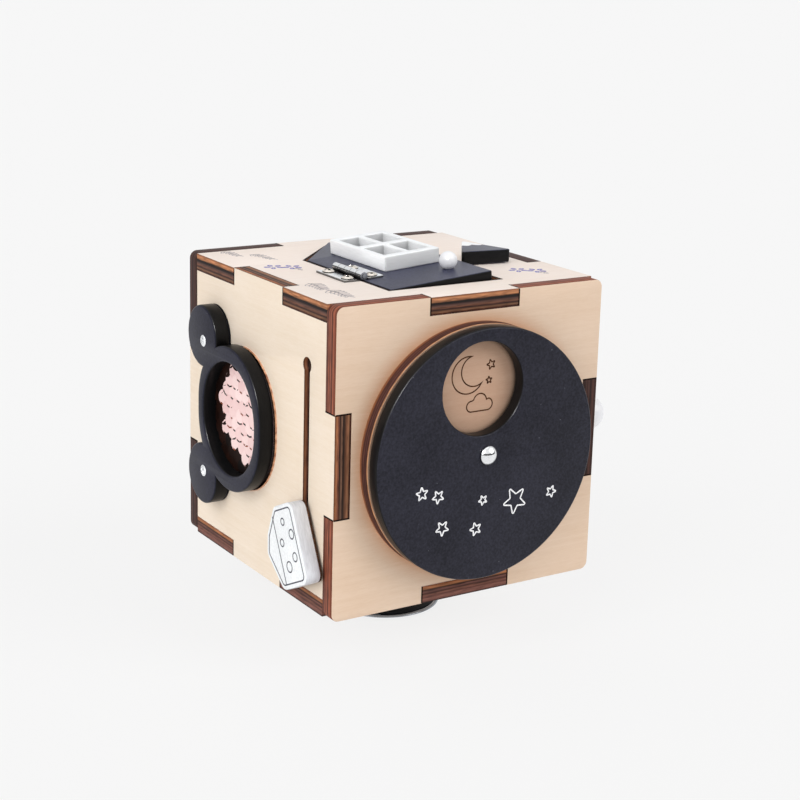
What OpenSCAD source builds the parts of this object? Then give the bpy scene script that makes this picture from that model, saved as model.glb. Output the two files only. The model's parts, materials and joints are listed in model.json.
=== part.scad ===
// Activity cube: a finger-jointed plywood box on a turning foot, with a thing to move on each shown face.
// Front: a night disc with a round window. Left: a sequin patch in an eared frame and a wedge in a keyhole slot.
// Top: a house-shaped door with its lattice window and a mountain turn button. Right: a ball on a level slot.
// Millimetres, +Z up, front face towards -Y. The origin is at the middle of the foot's underside.

/* [Box] */
// Outside width, depth and height of the cube
cube_w = 100; // [98:1:108]
// Thickness of the plywood panels
ply_t = 5.8; // [5.4:0.1:6.2]
// Kerf left beside each finger
finger_gap = 0.1; // [0.05:0.05:0.2]
// Rounding of the front and back panels' corners
corner_r = 2.6; // [1:0.1:4]
// Height of the cube's underside above the table
lift = 19; // [18:0.5:24]

/* [Night disc] */
// Radius of the picture board and of the disc that turns on it
disc_r = 41; // [39:0.5:43]
// Thickness of the picture board
board_t = 4.6; // [3.5:0.1:5]
// Thickness of the disc
disc_t = 4.7; // [3.5:0.1:5]
// Gap between the board and the disc
disc_gap = 0.65; // [0.6:0.05:1]
// Radius of the disc's round window
window_r = 15; // [10:0.5:16]
// Distance from the rivet to the middle of the window
window_off = 21.9; // [20:0.1:23]
// Turn of the window from upright, towards the left
window_turn = 7; // [0:1:30]
// Diameter of the rivet's dome head
rivet_head_d = 6.3; // [5.5:0.1:8]

/* [Sequin patch] */
// Distance from the middle of the left face to the middle of the frame, towards the back
frame_y = 9.7; // [8:0.1:11]
// Height of the frame's middle above the middle of the face
frame_z = 1; // [-3:0.5:3]
// Half width of the frame's outer oval
frame_r = 22.2; // [21:0.1:23]
// Half width of the oval hole
frame_hole_r = 18.1; // [15:0.1:18.5]
// Radius of the two round ears
ear_r = 10.5; // [9:0.5:11]
// Thickness of the frame
frame_t = 5.8; // [4:0.1:6]
// Thickness of the sequin cloth
cloth_t = 0.8; // [0.6:0.1:1]

/* [Wedge slider] */
// Distance of the keyhole slot in front of the middle of the left face
slot_y = 32.6; // [31:0.1:33]
// Width of the slots
slot_w = 3.4; // [3.3:0.05:3.6]
// Diameter of the keyhole's round end
keyhole_d = 5; // [4.9:0.1:5.6]
// Height of the slot's lower end above the cube's underside
slot_low = 20; // [18:0.5:24]
// Travel of the wedge up the slot
wedge_travel = 58.5; // [40:0.5:60]
// Thickness of the wedge
wedge_t = 5.8; // [4:0.1:6]
// Lean of the wedge at rest
wedge_lean = 29; // [0:1:45]

/* [Door] */
// Distance of the hinge line to the left of the cube's middle
hinge_x = 22.3; // [21.5:0.1:23]
// Width of the door leaf
door_w = 38.4; // [37:0.1:39]
// Length of the door's straight sides
door_side = 53; // [50:0.5:54]
// Thickness of the door leaf
door_t = 4; // [3.5:0.1:4.5]
// Angle that the door stands ajar at rest
door_ajar = 4.4; // [1:0.1:6]
// Height of the lattice window on the door
lattice_t = 5; // [3:0.5:6]
// Diameter of the door's ball knob
door_knob_d = 6; // [5.5:0.1:7]

/* [Turn button] */
// Width of the mountain's foot
button_w = 18.8; // [17:0.1:19.2]
// Height of the mountain from foot to tip
button_l = 18.9; // [17:0.1:19.4]
// Thickness of the button
button_t = 4.4; // [3.6:0.1:5]

/* [Ball slider] */
// Diameter of the ball
side_knob_d = 11.9; // [10:0.1:13]
// Travel of the ball along the level slot
side_travel = 70; // [40:1:70]

/* [Foot] */
// Radius of the foot's rim
foot_r = 19.6; // [18:0.1:24]
// Diameter of the post under the flange
post_d = 13; // [12:0.5:15]

/* [Hidden] */
$fn = 64;
eps = 0.01;
cut = 1;

// Box
half = cube_w / 2;
inner_w = cube_w - 2 * ply_t;
inner_half = inner_w / 2;
finger_w = cube_w / 3;
tab_w = finger_w - 2 * finger_gap;
z_bottom = lift;
z_top = lift + cube_w;
z_mid = lift + half;
z_floor = z_bottom + ply_t;
z_ceiling = z_top - ply_t;

// Night disc, from the front panel outwards
rivet_d = 3;
rivet_hole_d = 3.2;
disc_bore_d = 3.15;
disc_play = 0.3;
y_board = -half - board_t;
y_disc_back = y_board - disc_gap;
y_disc = y_disc_back - disc_t;
spacer_d = 10;
spacer_t = disc_gap - disc_play;
rivet_head_gap = 0.2;
rivet_head_h = 2;
rivet_washer_d = 9;
rivet_washer_t = 1;
rivet_tail_d = 4.4;
rivet_tail_t = 1;
window_x = -window_off * sin(window_turn);
window_z = z_mid + window_off * cos(window_turn);

// Sequin patch
oval_z = z_mid + frame_z;
frame_rise = 2.2;
frame_hole_rise = 0.9;
ear_y = frame_y + 19.3;
ear_rise = 24;
cloth_r = frame_r - 0.2;
cloth_shift = 1.3;
cloth_room = 0.1;
frame_screw_y = frame_y + 17.8;
frame_screw_rise = 22.7;
frame_screw_d = 2.2;
frame_screw_l = 4;
frame_head_d = 3.9;
frame_head_h = 0.7;
screw_play = 0.1;

// Wedge slider
pin_d = 3;
pin_fit = 0.04;
face_play = 0.15;
slider_washer_d = 8;
slider_washer_t = 0.45;
slider_bore_d = 3.15;
wedge_back = half + slider_washer_t + 2 * face_play;
pin_depth = 4.2;
keeper_d = keyhole_d - 0.3;
keeper_t = 1.4;
keeper_play = 0.3;
slot_z = z_bottom + slot_low;
wedge_r = 3;
wedge_outline = [[-8.7, -12.9], [8.2, -12.1], [13.9, 1], [10.7, 6.9], [2.6, 14], [-9.6, 13.2]];

// Door and its opening in the top panel
door_x0 = -hinge_x + 0.25;
door_x1 = door_x0 + door_w;
door_y0 = -35.25;
door_y1 = door_y0 + door_side;
gap_hinge = 0.5;
gap_near = 0.3;
gap_far = 2.8;
hinge_rise = 1.5;
hinge_z = z_top + hinge_rise;
lattice_x = -0.55;
lattice_y = 3.45;
lattice_size = [21.3, 35.7];
lattice_bar = [1.9, 3.4];
door_knob_x = 7.5;
door_knob_y = -23.2;
door_knob_sink = 0.4;
knob_screw_d = 1.6;
knob_screw_depth = 3;
knob_screw_head_d = 4;
knob_screw_head_t = 0.9;
stop_w = 10;
stop_l = 14;
stop_t = 3;
stop_y = -31;
stop_lip = gap_far + 2;
stop_play = 0.3;

// Hinge
hinge_y = -10.6;
hinge_l = 18;
leaf_w = 7.2;
leaf_t = 0.7;
leaf_clear = 1.6;
knuckles = 5;
knuckle_gap = 0.2;
knuckle_l = (hinge_l - (knuckles - 1) * knuckle_gap) / knuckles;
knuckle_d = 2.6;
hinge_pin_d = 1.3;
hinge_bore_d = 1.4;
hinge_pin_out = 0.2;
hinge_screw_x = 4.3;
hinge_screw_y = 6;
hinge_screw_d = 1.5;
hinge_screw_head_d = 4.2;
hinge_screw_head_h = 0.9;
panel_screw_l = 3.5;
door_screw_l = 2.7;

// Turn button: its pivot is the middle of the circle through the mountain's three corners
button_x = 30.1;
button_y = -6.9;
button_turn = -7.6;
button_r = 0.8;
button_side = sqrt(pow(button_w / 2, 2) + pow(button_l, 2));
button_reach = pow(button_side, 2) / (2 * button_l);
button_foot = button_l - button_reach;
button_outline = [
    [-button_w / 2, -button_foot], [button_w / 2, -button_foot], [0, button_reach],
];
button_washer_d = 9;
button_washer_t = 0.3;
button_play = 0.1;
button_z = z_top + button_washer_t + button_play;
button_screw_d = 2.6;
button_bore_d = 2.75;
button_screw_depth = 3;
button_head_d = 5.6;
button_head_t = 1.4;

// Ball slider
side_knob_x = half + 8.5;
side_y = -side_travel / 2;
neck_d = 5;
collar_d = 8;
collar_t = 1.2;
side_washer_d = 9;
side_washer_t = 0.5;
side_head_d = 6;
side_head_t = 1.5;

// Foot, from the table upwards
pad_t = 0.8;
pad_r = foot_r - 1.6;
plate_t = 1.6;
plate_r = foot_r - 1.25;
rim_low = 0.4;
rim_h = 2;
rim_fit = 0.05;
rim_round = 0.6;
flange_t = 2.5;
flange_d = 28;
flange_z = z_bottom - flange_t;
thrust_t = 0.3;
thrust_play = 0.1;
post_top = flange_z - thrust_t - thrust_play;
spindle_d = 8;
spindle_bore_d = 8.12;
spindle_hole_d = 8.6;
spindle_top = z_floor + 4;
foot_screw_ring = 10.5;
foot_screw_d = 2.4;
foot_screw_l = 4;
foot_head_d = 4.4;
foot_head_h = 1.2;
foot_washer_d = 14;
foot_washer_t = 1;
foot_washer_play = 0.1;
clip_d = 11;
clip_t = 1.2;
clip_groove = 0.8;
clip_z = z_floor + foot_washer_play + foot_washer_t;

// Colours
ply = "#E8CFB3";
picture_wood = "#D2AC82";
black_paint = "#35353C";
white_paint = "#F4F4F2";
steel = "#C9CBCE";
sequin_pink = "#F2D3CF";
rubber = "#2A2A2C";

// Helpers: a flat outline drawn on a face and given a thickness along X, Y or Z
module along_x(x0, t) translate([x0, 0, 0]) rotate([90, 0, 90]) linear_extrude(t) children();
module along_y(y0, t) translate([0, y0 + t, 0]) rotate([90, 0, 0]) linear_extrude(t) children();
module along_z(z0, t) translate([0, 0, z0]) linear_extrude(t) children();

// A round bar along X or Y, from its lower end
module bar_x(x0, l, d) translate([x0, 0, 0]) rotate([0, 90, 0]) cylinder(d = d, h = l);
module bar_y(y0, l, d) translate([0, y0, 0]) rotate([-90, 0, 0]) cylinder(d = d, h = l);

// A flat washer lying on the XY plane
module washer(d, bore, t) difference() {
    cylinder(d = d, h = t);
    translate([0, 0, -cut]) cylinder(d = bore, h = t + 2 * cut);
}

// A spherical cap with a flat underside of diameter d and a height h
module dome(d, h) {
    ball_r = (d * d / 4 + h * h) / (2 * h);
    intersection() {
        translate([0, 0, h - ball_r]) sphere(ball_r);
        cylinder(d = 2 * d, h = h);
    }
}

// A dome-headed screw pointing down, with its head standing on the XY plane
module dome_screw(head_d, head_h, d, l) {
    dome(head_d, head_h);
    translate([0, 0, -l]) cylinder(d = d, h = l + eps);
}

// A circle drawn out upwards and downwards by rise
module stadium(r, rise) {
    for (s = [-1, 1]) translate([0, s * rise]) circle(r);
    square([2 * r, 2 * rise], center = true);
}

// The corners of an outline turned into arcs of radius r
function unit(v) = v / norm(v);
function corner_arc(a, p, b, r, steps = 8) =
    let (
        ua = unit(a - p),
        ub = unit(b - p),
        h = acos(ua * ub) / 2,
        c = p + unit(ua + ub) * r / sin(h),
        s = p + ua * r / tan(h) - c,
        e = p + ub * r / tan(h) - c,
        a0 = atan2(s.y, s.x),
        sweep = (atan2(e.y, e.x) - a0 + 540) % 360 - 180
    )
    [for (i = [0:steps]) c + r * [cos(a0 + sweep * i / steps), sin(a0 + sweep * i / steps)]];
function rounded(pts, r) =
    let (n = len(pts))
    [for (i = [0:n - 1]) each corner_arc(pts[(i + n - 1) % n], pts[i], pts[(i + 1) % n], r)];

// Outlines of the six panels, centred on the panel
module corner_panel_outline() difference() {
    union() {
        square([cube_w - 2 * corner_r, cube_w], center = true);
        square([cube_w, cube_w - 2 * corner_r], center = true);
        for (sx = [-1, 1], sy = [-1, 1]) translate([sx, sy] * (half - corner_r)) circle(corner_r);
    }
    for (turn = [0:90:270]) rotate(turn)
        translate([-finger_w / 2, inner_half]) square([finger_w, ply_t + cut]);
}

module side_panel_outline() {
    square(inner_w, center = true);
    for (turn = [0:90:270]) rotate(turn)
        translate([-tab_w / 2, inner_half - cut]) square([tab_w, ply_t + cut]);
}

module lid_panel_outline() {
    difference() {
        square([cube_w, inner_w], center = true);
        for (s = [-1, 1]) translate([s * half, 0]) square([2 * ply_t, finger_w], center = true);
    }
    square([tab_w, cube_w], center = true);
}

module slot_outline(length) {
    translate([0, length / 2]) square([slot_w, length], center = true);
    for (end = [0, length]) translate([0, end]) circle(d = slot_w);
}

// Box panels
module front_panel() color(ply) along_y(-half, ply_t) translate([0, z_mid]) difference() {
    corner_panel_outline();
    circle(d = rivet_hole_d);
}

module back_panel() color(ply) along_y(inner_half, ply_t) translate([0, z_mid])
    corner_panel_outline();

module left_panel() color(ply) difference() {
    along_x(-half, ply_t) difference() {
        translate([0, z_mid]) side_panel_outline();
        translate([-slot_y, slot_z]) slot_outline(wedge_travel);
        translate([-slot_y, slot_z + wedge_travel]) circle(d = keyhole_d);
    }
    for (s = [-1, 1]) translate([0, frame_screw_y, oval_z + s * frame_screw_rise])
        bar_x(-half - cut, cut + frame_screw_l + screw_play, frame_screw_d + screw_play);
}

module right_panel() color(ply) along_x(inner_half, ply_t) difference() {
    translate([0, z_mid]) side_panel_outline();
    translate([side_y, z_mid]) rotate(-90) slot_outline(side_travel);
}

// The door's outline, and the opening round it when the gaps are added
module house_outline(left = 0, near = 0, right = 0) {
    x0 = door_x0 - left;
    x1 = door_x1 + right;
    y1 = door_y1 + near;
    gable = (x1 - x0) / 2;
    polygon([[x0, door_y0 - near], [x1, door_y0 - near], [x1, y1], [x0 + gable, y1 + gable], [x0, y1]]);
}

module top_panel() color(ply) difference() {
    along_z(z_ceiling, ply_t) difference() {
        lid_panel_outline();
        house_outline(gap_hinge, gap_near, gap_far);
        translate([button_x, button_y]) circle(d = button_bore_d);
    }
    for (s = [-1, 1]) translate([-hinge_x - hinge_screw_x, hinge_y + s * hinge_screw_y, z_top - panel_screw_l])
        cylinder(d = hinge_screw_d + screw_play, h = panel_screw_l + cut);
}

module bottom_panel() color(ply) difference() {
    along_z(z_bottom, ply_t) difference() {
        lid_panel_outline();
        circle(d = spindle_hole_d);
    }
    at_foot_screws() translate([0, 0, flange_z])
        cylinder(d = foot_screw_d + screw_play, h = flange_t + foot_screw_l + screw_play);
}

// Night disc on the front face
module picture_disc() color(picture_wood) along_y(y_board, board_t) translate([0, z_mid]) difference() {
    circle(disc_r, $fn = 128);
    circle(d = rivet_hole_d);
}

module disc_spacer() color(steel) translate([0, y_board, z_mid]) rotate([90, 0, 0])
    washer(spacer_d, rivet_hole_d, spacer_t);

module night_disc() color(black_paint) along_y(y_disc, disc_t) difference() {
    translate([0, z_mid]) circle(disc_r, $fn = 128);
    translate([window_x, window_z]) circle(window_r);
    translate([0, z_mid]) circle(d = disc_bore_d);
}

module disc_rivet() color(steel) {
    head_y = y_disc - rivet_head_gap;
    tail_y = -inner_half + rivet_washer_t;
    translate([0, 0, z_mid]) {
        translate([0, head_y, 0]) rotate([90, 0, 0]) dome(rivet_head_d, rivet_head_h);
        bar_y(head_y - eps, tail_y + rivet_tail_t - head_y + eps, rivet_d);
        bar_y(tail_y, rivet_tail_t, rivet_tail_d);
    }
}

module rivet_washer() color(steel) translate([0, -inner_half, z_mid]) rotate([-90, 0, 0])
    washer(rivet_washer_d, rivet_hole_d, rivet_washer_t);

// Sequin patch on the left face
module cloth_outline(room = 0) translate([frame_y - cloth_shift, oval_z]) stadium(cloth_r + room, frame_rise);

module sequin_frame() color(black_paint) difference() {
    along_x(-half - frame_t, frame_t) difference() {
        union() {
            translate([frame_y, oval_z]) stadium(frame_r, frame_rise);
            for (s = [-1, 1]) translate([ear_y, oval_z + s * ear_rise]) circle(ear_r);
        }
        translate([frame_y, oval_z]) stadium(frame_hole_r, frame_hole_rise);
        for (s = [-1, 1]) translate([frame_screw_y, oval_z + s * frame_screw_rise])
            circle(d = frame_screw_d + screw_play);
    }
    along_x(-half - cloth_t - cloth_room, cloth_t + cloth_room + cut) cloth_outline(cloth_room);
}

module sequin_cloth() color(sequin_pink) along_x(-half - cloth_t, cloth_t) cloth_outline();

module frame_screws() color(steel)
    for (s = [-1, 1]) translate([-half - frame_t, frame_screw_y, oval_z + s * frame_screw_rise])
        rotate([0, -90, 0]) dome_screw(frame_head_d, frame_head_h, frame_screw_d, frame_t + frame_screw_l);

// Wedge slider on the left face
module at_slider() translate([0, -slot_y, slot_z]) children();

module slider_washer() color(steel) at_slider()
    translate([-half - face_play - slider_washer_t, 0, 0]) rotate([0, 90, 0])
        washer(slider_washer_d, slider_bore_d, slider_washer_t);

module cheese_wedge() color(white_paint) at_slider() difference() {
    along_x(-wedge_back - wedge_t, wedge_t) rotate(-wedge_lean) polygon(rounded(wedge_outline, wedge_r));
    bar_x(-wedge_back - pin_depth, pin_depth + cut, pin_d + pin_fit);
}

module slider_pin() color(steel) at_slider() {
    keeper_x = -inner_half + keeper_play;
    bar_x(-wedge_back - pin_depth, wedge_back + pin_depth + keeper_x + eps, pin_d);
    bar_x(keeper_x, keeper_t, keeper_d);
}

// Door on the top face, drawn shut and then turned to its ajar rest
module ajar() translate([-hinge_x, 0, hinge_z]) rotate([0, -door_ajar, 0])
    translate([hinge_x, 0, -hinge_z]) children();

module door_leaf() color(black_paint) ajar() difference() {
    along_z(z_top - door_t, door_t) difference() {
        house_outline();
        translate([door_knob_x, door_knob_y]) circle(d = knob_screw_d + screw_play);
    }
    for (s = [-1, 1]) translate([-hinge_x + hinge_screw_x, hinge_y + s * hinge_screw_y, z_top - door_screw_l])
        cylinder(d = hinge_screw_d + screw_play, h = door_screw_l + cut);
}

module window_lattice() color(white_paint) ajar() along_z(z_top, lattice_t)
    translate([lattice_x, lattice_y]) difference() {
        square(lattice_size, center = true);
        pane = (lattice_size - 3 * lattice_bar) / 2;
        for (sx = [-1, 1], sy = [-1, 1])
            translate([sx * (pane.x + lattice_bar.x) / 2, sy * (pane.y + lattice_bar.y) / 2])
                square(pane, center = true);
    }

module door_knob() color(white_paint) ajar() translate([door_knob_x, door_knob_y, z_top]) difference() {
    intersection() {
        translate([0, 0, door_knob_d / 2 - door_knob_sink]) sphere(d = door_knob_d);
        cylinder(d = 2 * door_knob_d, h = door_knob_d);
    }
    translate([0, 0, -cut]) cylinder(d = knob_screw_d + pin_fit, h = cut + knob_screw_depth + pin_fit);
}

module door_knob_screw() color(steel) ajar() translate([door_knob_x, door_knob_y, z_top - door_t]) {
    translate([0, 0, -eps]) cylinder(d = knob_screw_d, h = eps + door_t + knob_screw_depth);
    translate([0, 0, -knob_screw_head_t]) cylinder(d = knob_screw_head_d, h = knob_screw_head_t);
}

module door_stop() color(ply) translate([door_x1 - stop_lip + gap_far - stop_play, stop_y, z_ceiling - stop_t]) {
    cube([stop_w, stop_l, stop_t]);
    cube([stop_lip, stop_l, stop_t + ply_t - door_t - stop_play]);
}

// Hinge: knuckle i of the row, with the tongue that ties it to a leaf on the given side
module knuckle(i, side) {
    y0 = hinge_y - hinge_l / 2 + i * (knuckle_l + knuckle_gap);
    difference() {
        union() {
            translate([-hinge_x, 0, hinge_z]) bar_y(y0, knuckle_l, knuckle_d);
            translate([-hinge_x + min(0, side * leaf_clear), y0, z_top]) cube([leaf_clear, knuckle_l, leaf_t]);
        }
        translate([-hinge_x, 0, hinge_z]) bar_y(y0 - cut, knuckle_l + 2 * cut, hinge_bore_d);
    }
}

module hinge_leaf(side, first) {
    difference() {
        translate([-hinge_x + (side > 0 ? leaf_clear - eps : -leaf_w), hinge_y - hinge_l / 2, z_top])
            cube([leaf_w - leaf_clear + eps, hinge_l, leaf_t]);
        for (s = [-1, 1])
            translate([-hinge_x + side * hinge_screw_x, hinge_y + s * hinge_screw_y, z_top - cut])
                cylinder(d = hinge_screw_d + screw_play, h = leaf_t + 2 * cut);
    }
    for (i = [first:2:knuckles - 1]) knuckle(i, side);
}

module hinge_screw_pair(side, l)
    for (s = [-1, 1]) translate([-hinge_x + side * hinge_screw_x, hinge_y + s * hinge_screw_y, z_top + leaf_t])
        dome_screw(hinge_screw_head_d, hinge_screw_head_h, hinge_screw_d, leaf_t + l - screw_play);

module hinge_panel_leaf() color(steel) hinge_leaf(-1, 0);

module hinge_door_leaf() color(steel) ajar() hinge_leaf(1, 1);

module hinge_pin() color(steel) translate([-hinge_x, 0, hinge_z])
    bar_y(hinge_y - hinge_l / 2 - hinge_pin_out, hinge_l + 2 * hinge_pin_out, hinge_pin_d);

module hinge_panel_screws() color(steel) hinge_screw_pair(-1, panel_screw_l);

module hinge_door_screws() color(steel) ajar() hinge_screw_pair(1, door_screw_l);

// Turn button beside the door
module mountain_button() color(black_paint) translate([button_x, button_y, button_z]) difference() {
    linear_extrude(button_t) rotate(button_turn) polygon(rounded(button_outline, button_r));
    translate([0, 0, -cut]) cylinder(d = button_screw_d + pin_fit, h = cut + button_screw_depth + pin_fit);
}

module button_washer() color(steel) translate([button_x, button_y, z_top])
    washer(button_washer_d, button_bore_d, button_washer_t);

module button_screw() color(steel) translate([button_x, button_y, z_ceiling - keeper_play]) {
    cylinder(d = button_screw_d, h = keeper_play + button_z + button_screw_depth - z_ceiling);
    translate([0, 0, -button_head_t]) cylinder(d = button_head_d, h = button_head_t + eps);
}

// Ball slider on the right face
module at_side_knob() translate([0, side_y, z_mid]) children();

module side_knob() color(white_paint) at_side_knob() difference() {
    union() {
        translate([side_knob_x, 0, 0]) sphere(d = side_knob_d);
        bar_x(half + keeper_play, side_knob_x - half, neck_d);
        bar_x(half + keeper_play, collar_t, collar_d);
    }
    bar_x(half - cut, cut + side_knob_x - half, pin_d + pin_fit);
}

module side_knob_washer() color(steel) at_side_knob()
    translate([inner_half - keeper_play - side_washer_t, 0, 0]) rotate([0, 90, 0])
        washer(side_washer_d, slider_bore_d, side_washer_t);

module side_knob_screw() color(steel) at_side_knob() {
    head_x = inner_half - keeper_play - side_washer_t - side_head_t;
    bar_x(head_x, side_head_t, side_head_d);
    bar_x(head_x, side_knob_x - head_x - pin_fit, pin_d);
}

// Turning foot
module at_foot_screws() for (turn = [45:90:315]) rotate(turn) translate([foot_screw_ring, 0, 0]) children();

module foot_pad() color(rubber) cylinder(r = pad_r, h = pad_t);

module foot_disc() color(black_paint) translate([0, 0, pad_t]) cylinder(r = plate_r, h = plate_t);

module foot_rim() color(steel) rotate_extrude() {
    translate([plate_r + rim_fit, rim_low]) square([foot_r - rim_round - plate_r - rim_fit, rim_h]);
    translate([foot_r - rim_round, rim_low + rim_round]) square([rim_round, rim_h - 2 * rim_round]);
    for (z = [rim_round, rim_h - rim_round]) translate([foot_r - rim_round, rim_low + z]) circle(rim_round);
}

module foot_spindle() color(steel) difference() {
    union() {
        translate([0, 0, pad_t + plate_t]) cylinder(d = post_d, h = post_top - pad_t - plate_t);
        translate([0, 0, post_top - eps]) cylinder(d = spindle_d, h = spindle_top - post_top + eps);
    }
    translate([0, 0, clip_z]) washer(spindle_d + cut, spindle_d - 2 * clip_groove, clip_t);
}

module foot_thrust_washer() color(steel) translate([0, 0, post_top])
    washer(post_d, spindle_bore_d, thrust_t);

module foot_flange() color(black_paint) translate([0, 0, flange_z]) difference() {
    washer(flange_d, spindle_bore_d, flange_t);
    at_foot_screws() translate([0, 0, -cut]) cylinder(d = foot_screw_d + screw_play, h = flange_t + 2 * cut);
}

module foot_screws() color(steel) at_foot_screws() translate([0, 0, flange_z]) mirror([0, 0, 1])
    dome_screw(foot_head_d, foot_head_h, foot_screw_d, flange_t + foot_screw_l);

module foot_washer() color(steel) translate([0, 0, z_floor + foot_washer_play])
    washer(foot_washer_d, spindle_hole_d, foot_washer_t);

module foot_clip() color(steel) translate([0, 0, clip_z])
    washer(clip_d, spindle_d - 2 * clip_groove + screw_play, clip_t);

front_panel();
back_panel();
left_panel();
right_panel();
top_panel();
bottom_panel();
picture_disc();
disc_spacer();
disc_rivet();
rivet_washer();
night_disc();
sequin_frame();
sequin_cloth();
frame_screws();
slider_washer();
cheese_wedge();
slider_pin();
door_leaf();
window_lattice();
door_knob();
door_knob_screw();
door_stop();
hinge_panel_leaf();
hinge_door_leaf();
hinge_pin();
hinge_panel_screws();
hinge_door_screws();
mountain_button();
button_washer();
button_screw();
side_knob();
side_knob_washer();
side_knob_screw();
foot_pad();
foot_disc();
foot_rim();
foot_spindle();
foot_thrust_washer();
foot_flange();
foot_screws();
foot_washer();
foot_clip();
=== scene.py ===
"""Looks of a wooden activity cube: plywood box, night disc, sequin patch, wedge, door and turning foot."""
import functools
import json
import math

import bpy
import numpy as np
from mathutils import Matrix, Vector
from mathutils.geometry import tessellate_polygon


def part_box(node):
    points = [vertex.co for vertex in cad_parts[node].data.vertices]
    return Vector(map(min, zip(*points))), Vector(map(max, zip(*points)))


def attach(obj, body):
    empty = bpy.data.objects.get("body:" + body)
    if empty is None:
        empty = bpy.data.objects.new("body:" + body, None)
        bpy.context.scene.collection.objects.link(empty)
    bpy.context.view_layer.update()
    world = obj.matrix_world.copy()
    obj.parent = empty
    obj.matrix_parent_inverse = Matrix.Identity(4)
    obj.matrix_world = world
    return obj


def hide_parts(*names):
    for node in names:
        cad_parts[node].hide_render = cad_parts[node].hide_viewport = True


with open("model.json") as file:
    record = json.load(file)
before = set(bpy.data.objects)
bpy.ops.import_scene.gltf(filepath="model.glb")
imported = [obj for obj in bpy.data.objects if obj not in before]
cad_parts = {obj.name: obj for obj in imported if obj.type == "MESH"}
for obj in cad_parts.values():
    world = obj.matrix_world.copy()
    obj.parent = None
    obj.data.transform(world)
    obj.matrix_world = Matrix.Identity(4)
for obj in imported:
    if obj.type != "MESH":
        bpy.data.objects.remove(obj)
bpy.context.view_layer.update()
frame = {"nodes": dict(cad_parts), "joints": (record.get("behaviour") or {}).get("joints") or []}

bl_info = {
    "name": "Activity Cube Looks",
    "version": (1, 0, 0),
    "blender": (4, 5, 0),
    "location": "View3D > Sidebar > Activity Cube",
    "description": "Dresses the packed activity cube with wood, paint, sequins and metal",
    "category": "Object",
}

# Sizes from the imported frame, in metres
MM = 0.001
FRONT_LO, FRONT_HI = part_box("front_panel")
CUBE = FRONT_HI.x - FRONT_LO.x
HALF = CUBE / 2
PLY = FRONT_HI.y - FRONT_LO.y
INNER = HALF - PLY
Z_BOTTOM = FRONT_LO.z
Z_TOP = FRONT_HI.z
Z_MID = (Z_BOTTOM + Z_TOP) / 2
BOARD_LO, BOARD_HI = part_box("picture_disc")
DISC_LO, DISC_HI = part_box("night_disc")
DISC_R = (DISC_HI.x - DISC_LO.x) / 2
DISC_T = DISC_HI.y - DISC_LO.y
RIVET_LO, RIVET_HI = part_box("disc_rivet")
FRAME_LO, FRAME_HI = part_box("sequin_frame")
FRAME_T = FRAME_HI.x - FRAME_LO.x
CHEESE_LO, CHEESE_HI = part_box("cheese_wedge")
BUTTON_LO, BUTTON_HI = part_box("mountain_button")
KNOB_LO, KNOB_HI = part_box("side_knob")
RIM_LO, RIM_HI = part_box("foot_rim")
PLATE_LO, PLATE_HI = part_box("foot_disc")
JOINTS = {joint["name"]: joint for joint in frame["joints"]}
HINGE_X, HINGE_Y, HINGE_Z = JOINTS["door_swing"]["pos_m"]
DOOR_AJAR = math.radians(-JOINTS["door_swing"]["range_deg"][0])
SLIDER_Y, SLIDER_Z = JOINTS["wedge_slide"]["pos_m"][1:]
SLIDER_TRAVEL = JOINTS["wedge_slide"]["range_m"][1]
BALL_TRAVEL = JOINTS["ball_slide"]["range_m"][1]
BUTTON_X, BUTTON_Y = JOINTS["button_turn"]["pos_m"][:2]

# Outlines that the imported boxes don't give, in metres
FINGER_GAP = 0.1 * MM
CORNER_R = 2.6 * MM
SLOT_W = 3.4 * MM
KEYHOLE_D = 5 * MM
SPINDLE_BORE_R = 4.3 * MM
BOARD_BORE_R = 1.6 * MM
DISC_BORE_R = 1.575 * MM
WINDOW_R = 15 * MM
WINDOW_OFF = 21.9 * MM
WINDOW_TURN = math.radians(7)
RIVET_SHANK_R = 1.5 * MM
RIVET_TAIL_R = 2.2 * MM
RIVET_TAIL_H = 1 * MM
RIVET_RIM_H = 0.3 * MM
RIVET_GAP = 0.2 * MM
OVAL = np.array([-9.7, 1]) * MM
OVAL_R = 22.2 * MM
OVAL_RISE = 2.2 * MM
OVAL_HOLE_R = 18.1 * MM
OVAL_HOLE_RISE = 0.9 * MM
EAR = np.array([-19.3, 24]) * MM
EAR_R = 10.5 * MM
EAR_PAD_R = 10.4 * MM
EAR_SCREW = np.array([-17.8, 22.7]) * MM
CLOTH_AT = OVAL + np.array([1.3, 0]) * MM
CLOTH_R = 22 * MM
CLOTH_T = 0.5 * MM
HEM_IN = 0.45 * MM
HEM_W = 1.1 * MM
HEM_H = 0.5 * MM
WEDGE_AT = (-SLIDER_Y, SLIDER_Z - Z_MID)
CHEESE_LEAN = math.radians(29)
CHEESE_CORNERS = np.array([[9.6, 13.2], [-2.6, 14], [-10.7, 6.9], [-13.9, 1], [-8.2, -12.1], [8.7, -12.9]])
CHEESE_R = 3 * MM
CHEESE_BARE = 0.6 * MM
CHEESE_BORDER = 1.5 * MM
DOOR_X0 = HINGE_X + 0.25 * MM
DOOR_W = 38.4 * MM
DOOR_Y0 = -35.25 * MM
DOOR_SIDE = 53 * MM
DOOR_T = 4 * MM
DOOR_CORNER_R = 0.4 * MM
OPENING_GAPS = (0.5 * MM, 0.3 * MM, 2.8 * MM)
LATTICE_AT = (-0.55 * MM, 3.45 * MM)
LATTICE_SIZE = np.array([21.3, 35.7]) * MM
LATTICE_BAR = np.array([1.9, 3.4]) * MM
LATTICE_T = 5 * MM
LATTICE_R = 0.7 * MM
PANE_R = 0.4 * MM
DOOR_KNOB_AT = (7.5 * MM, -23.2 * MM)
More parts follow.
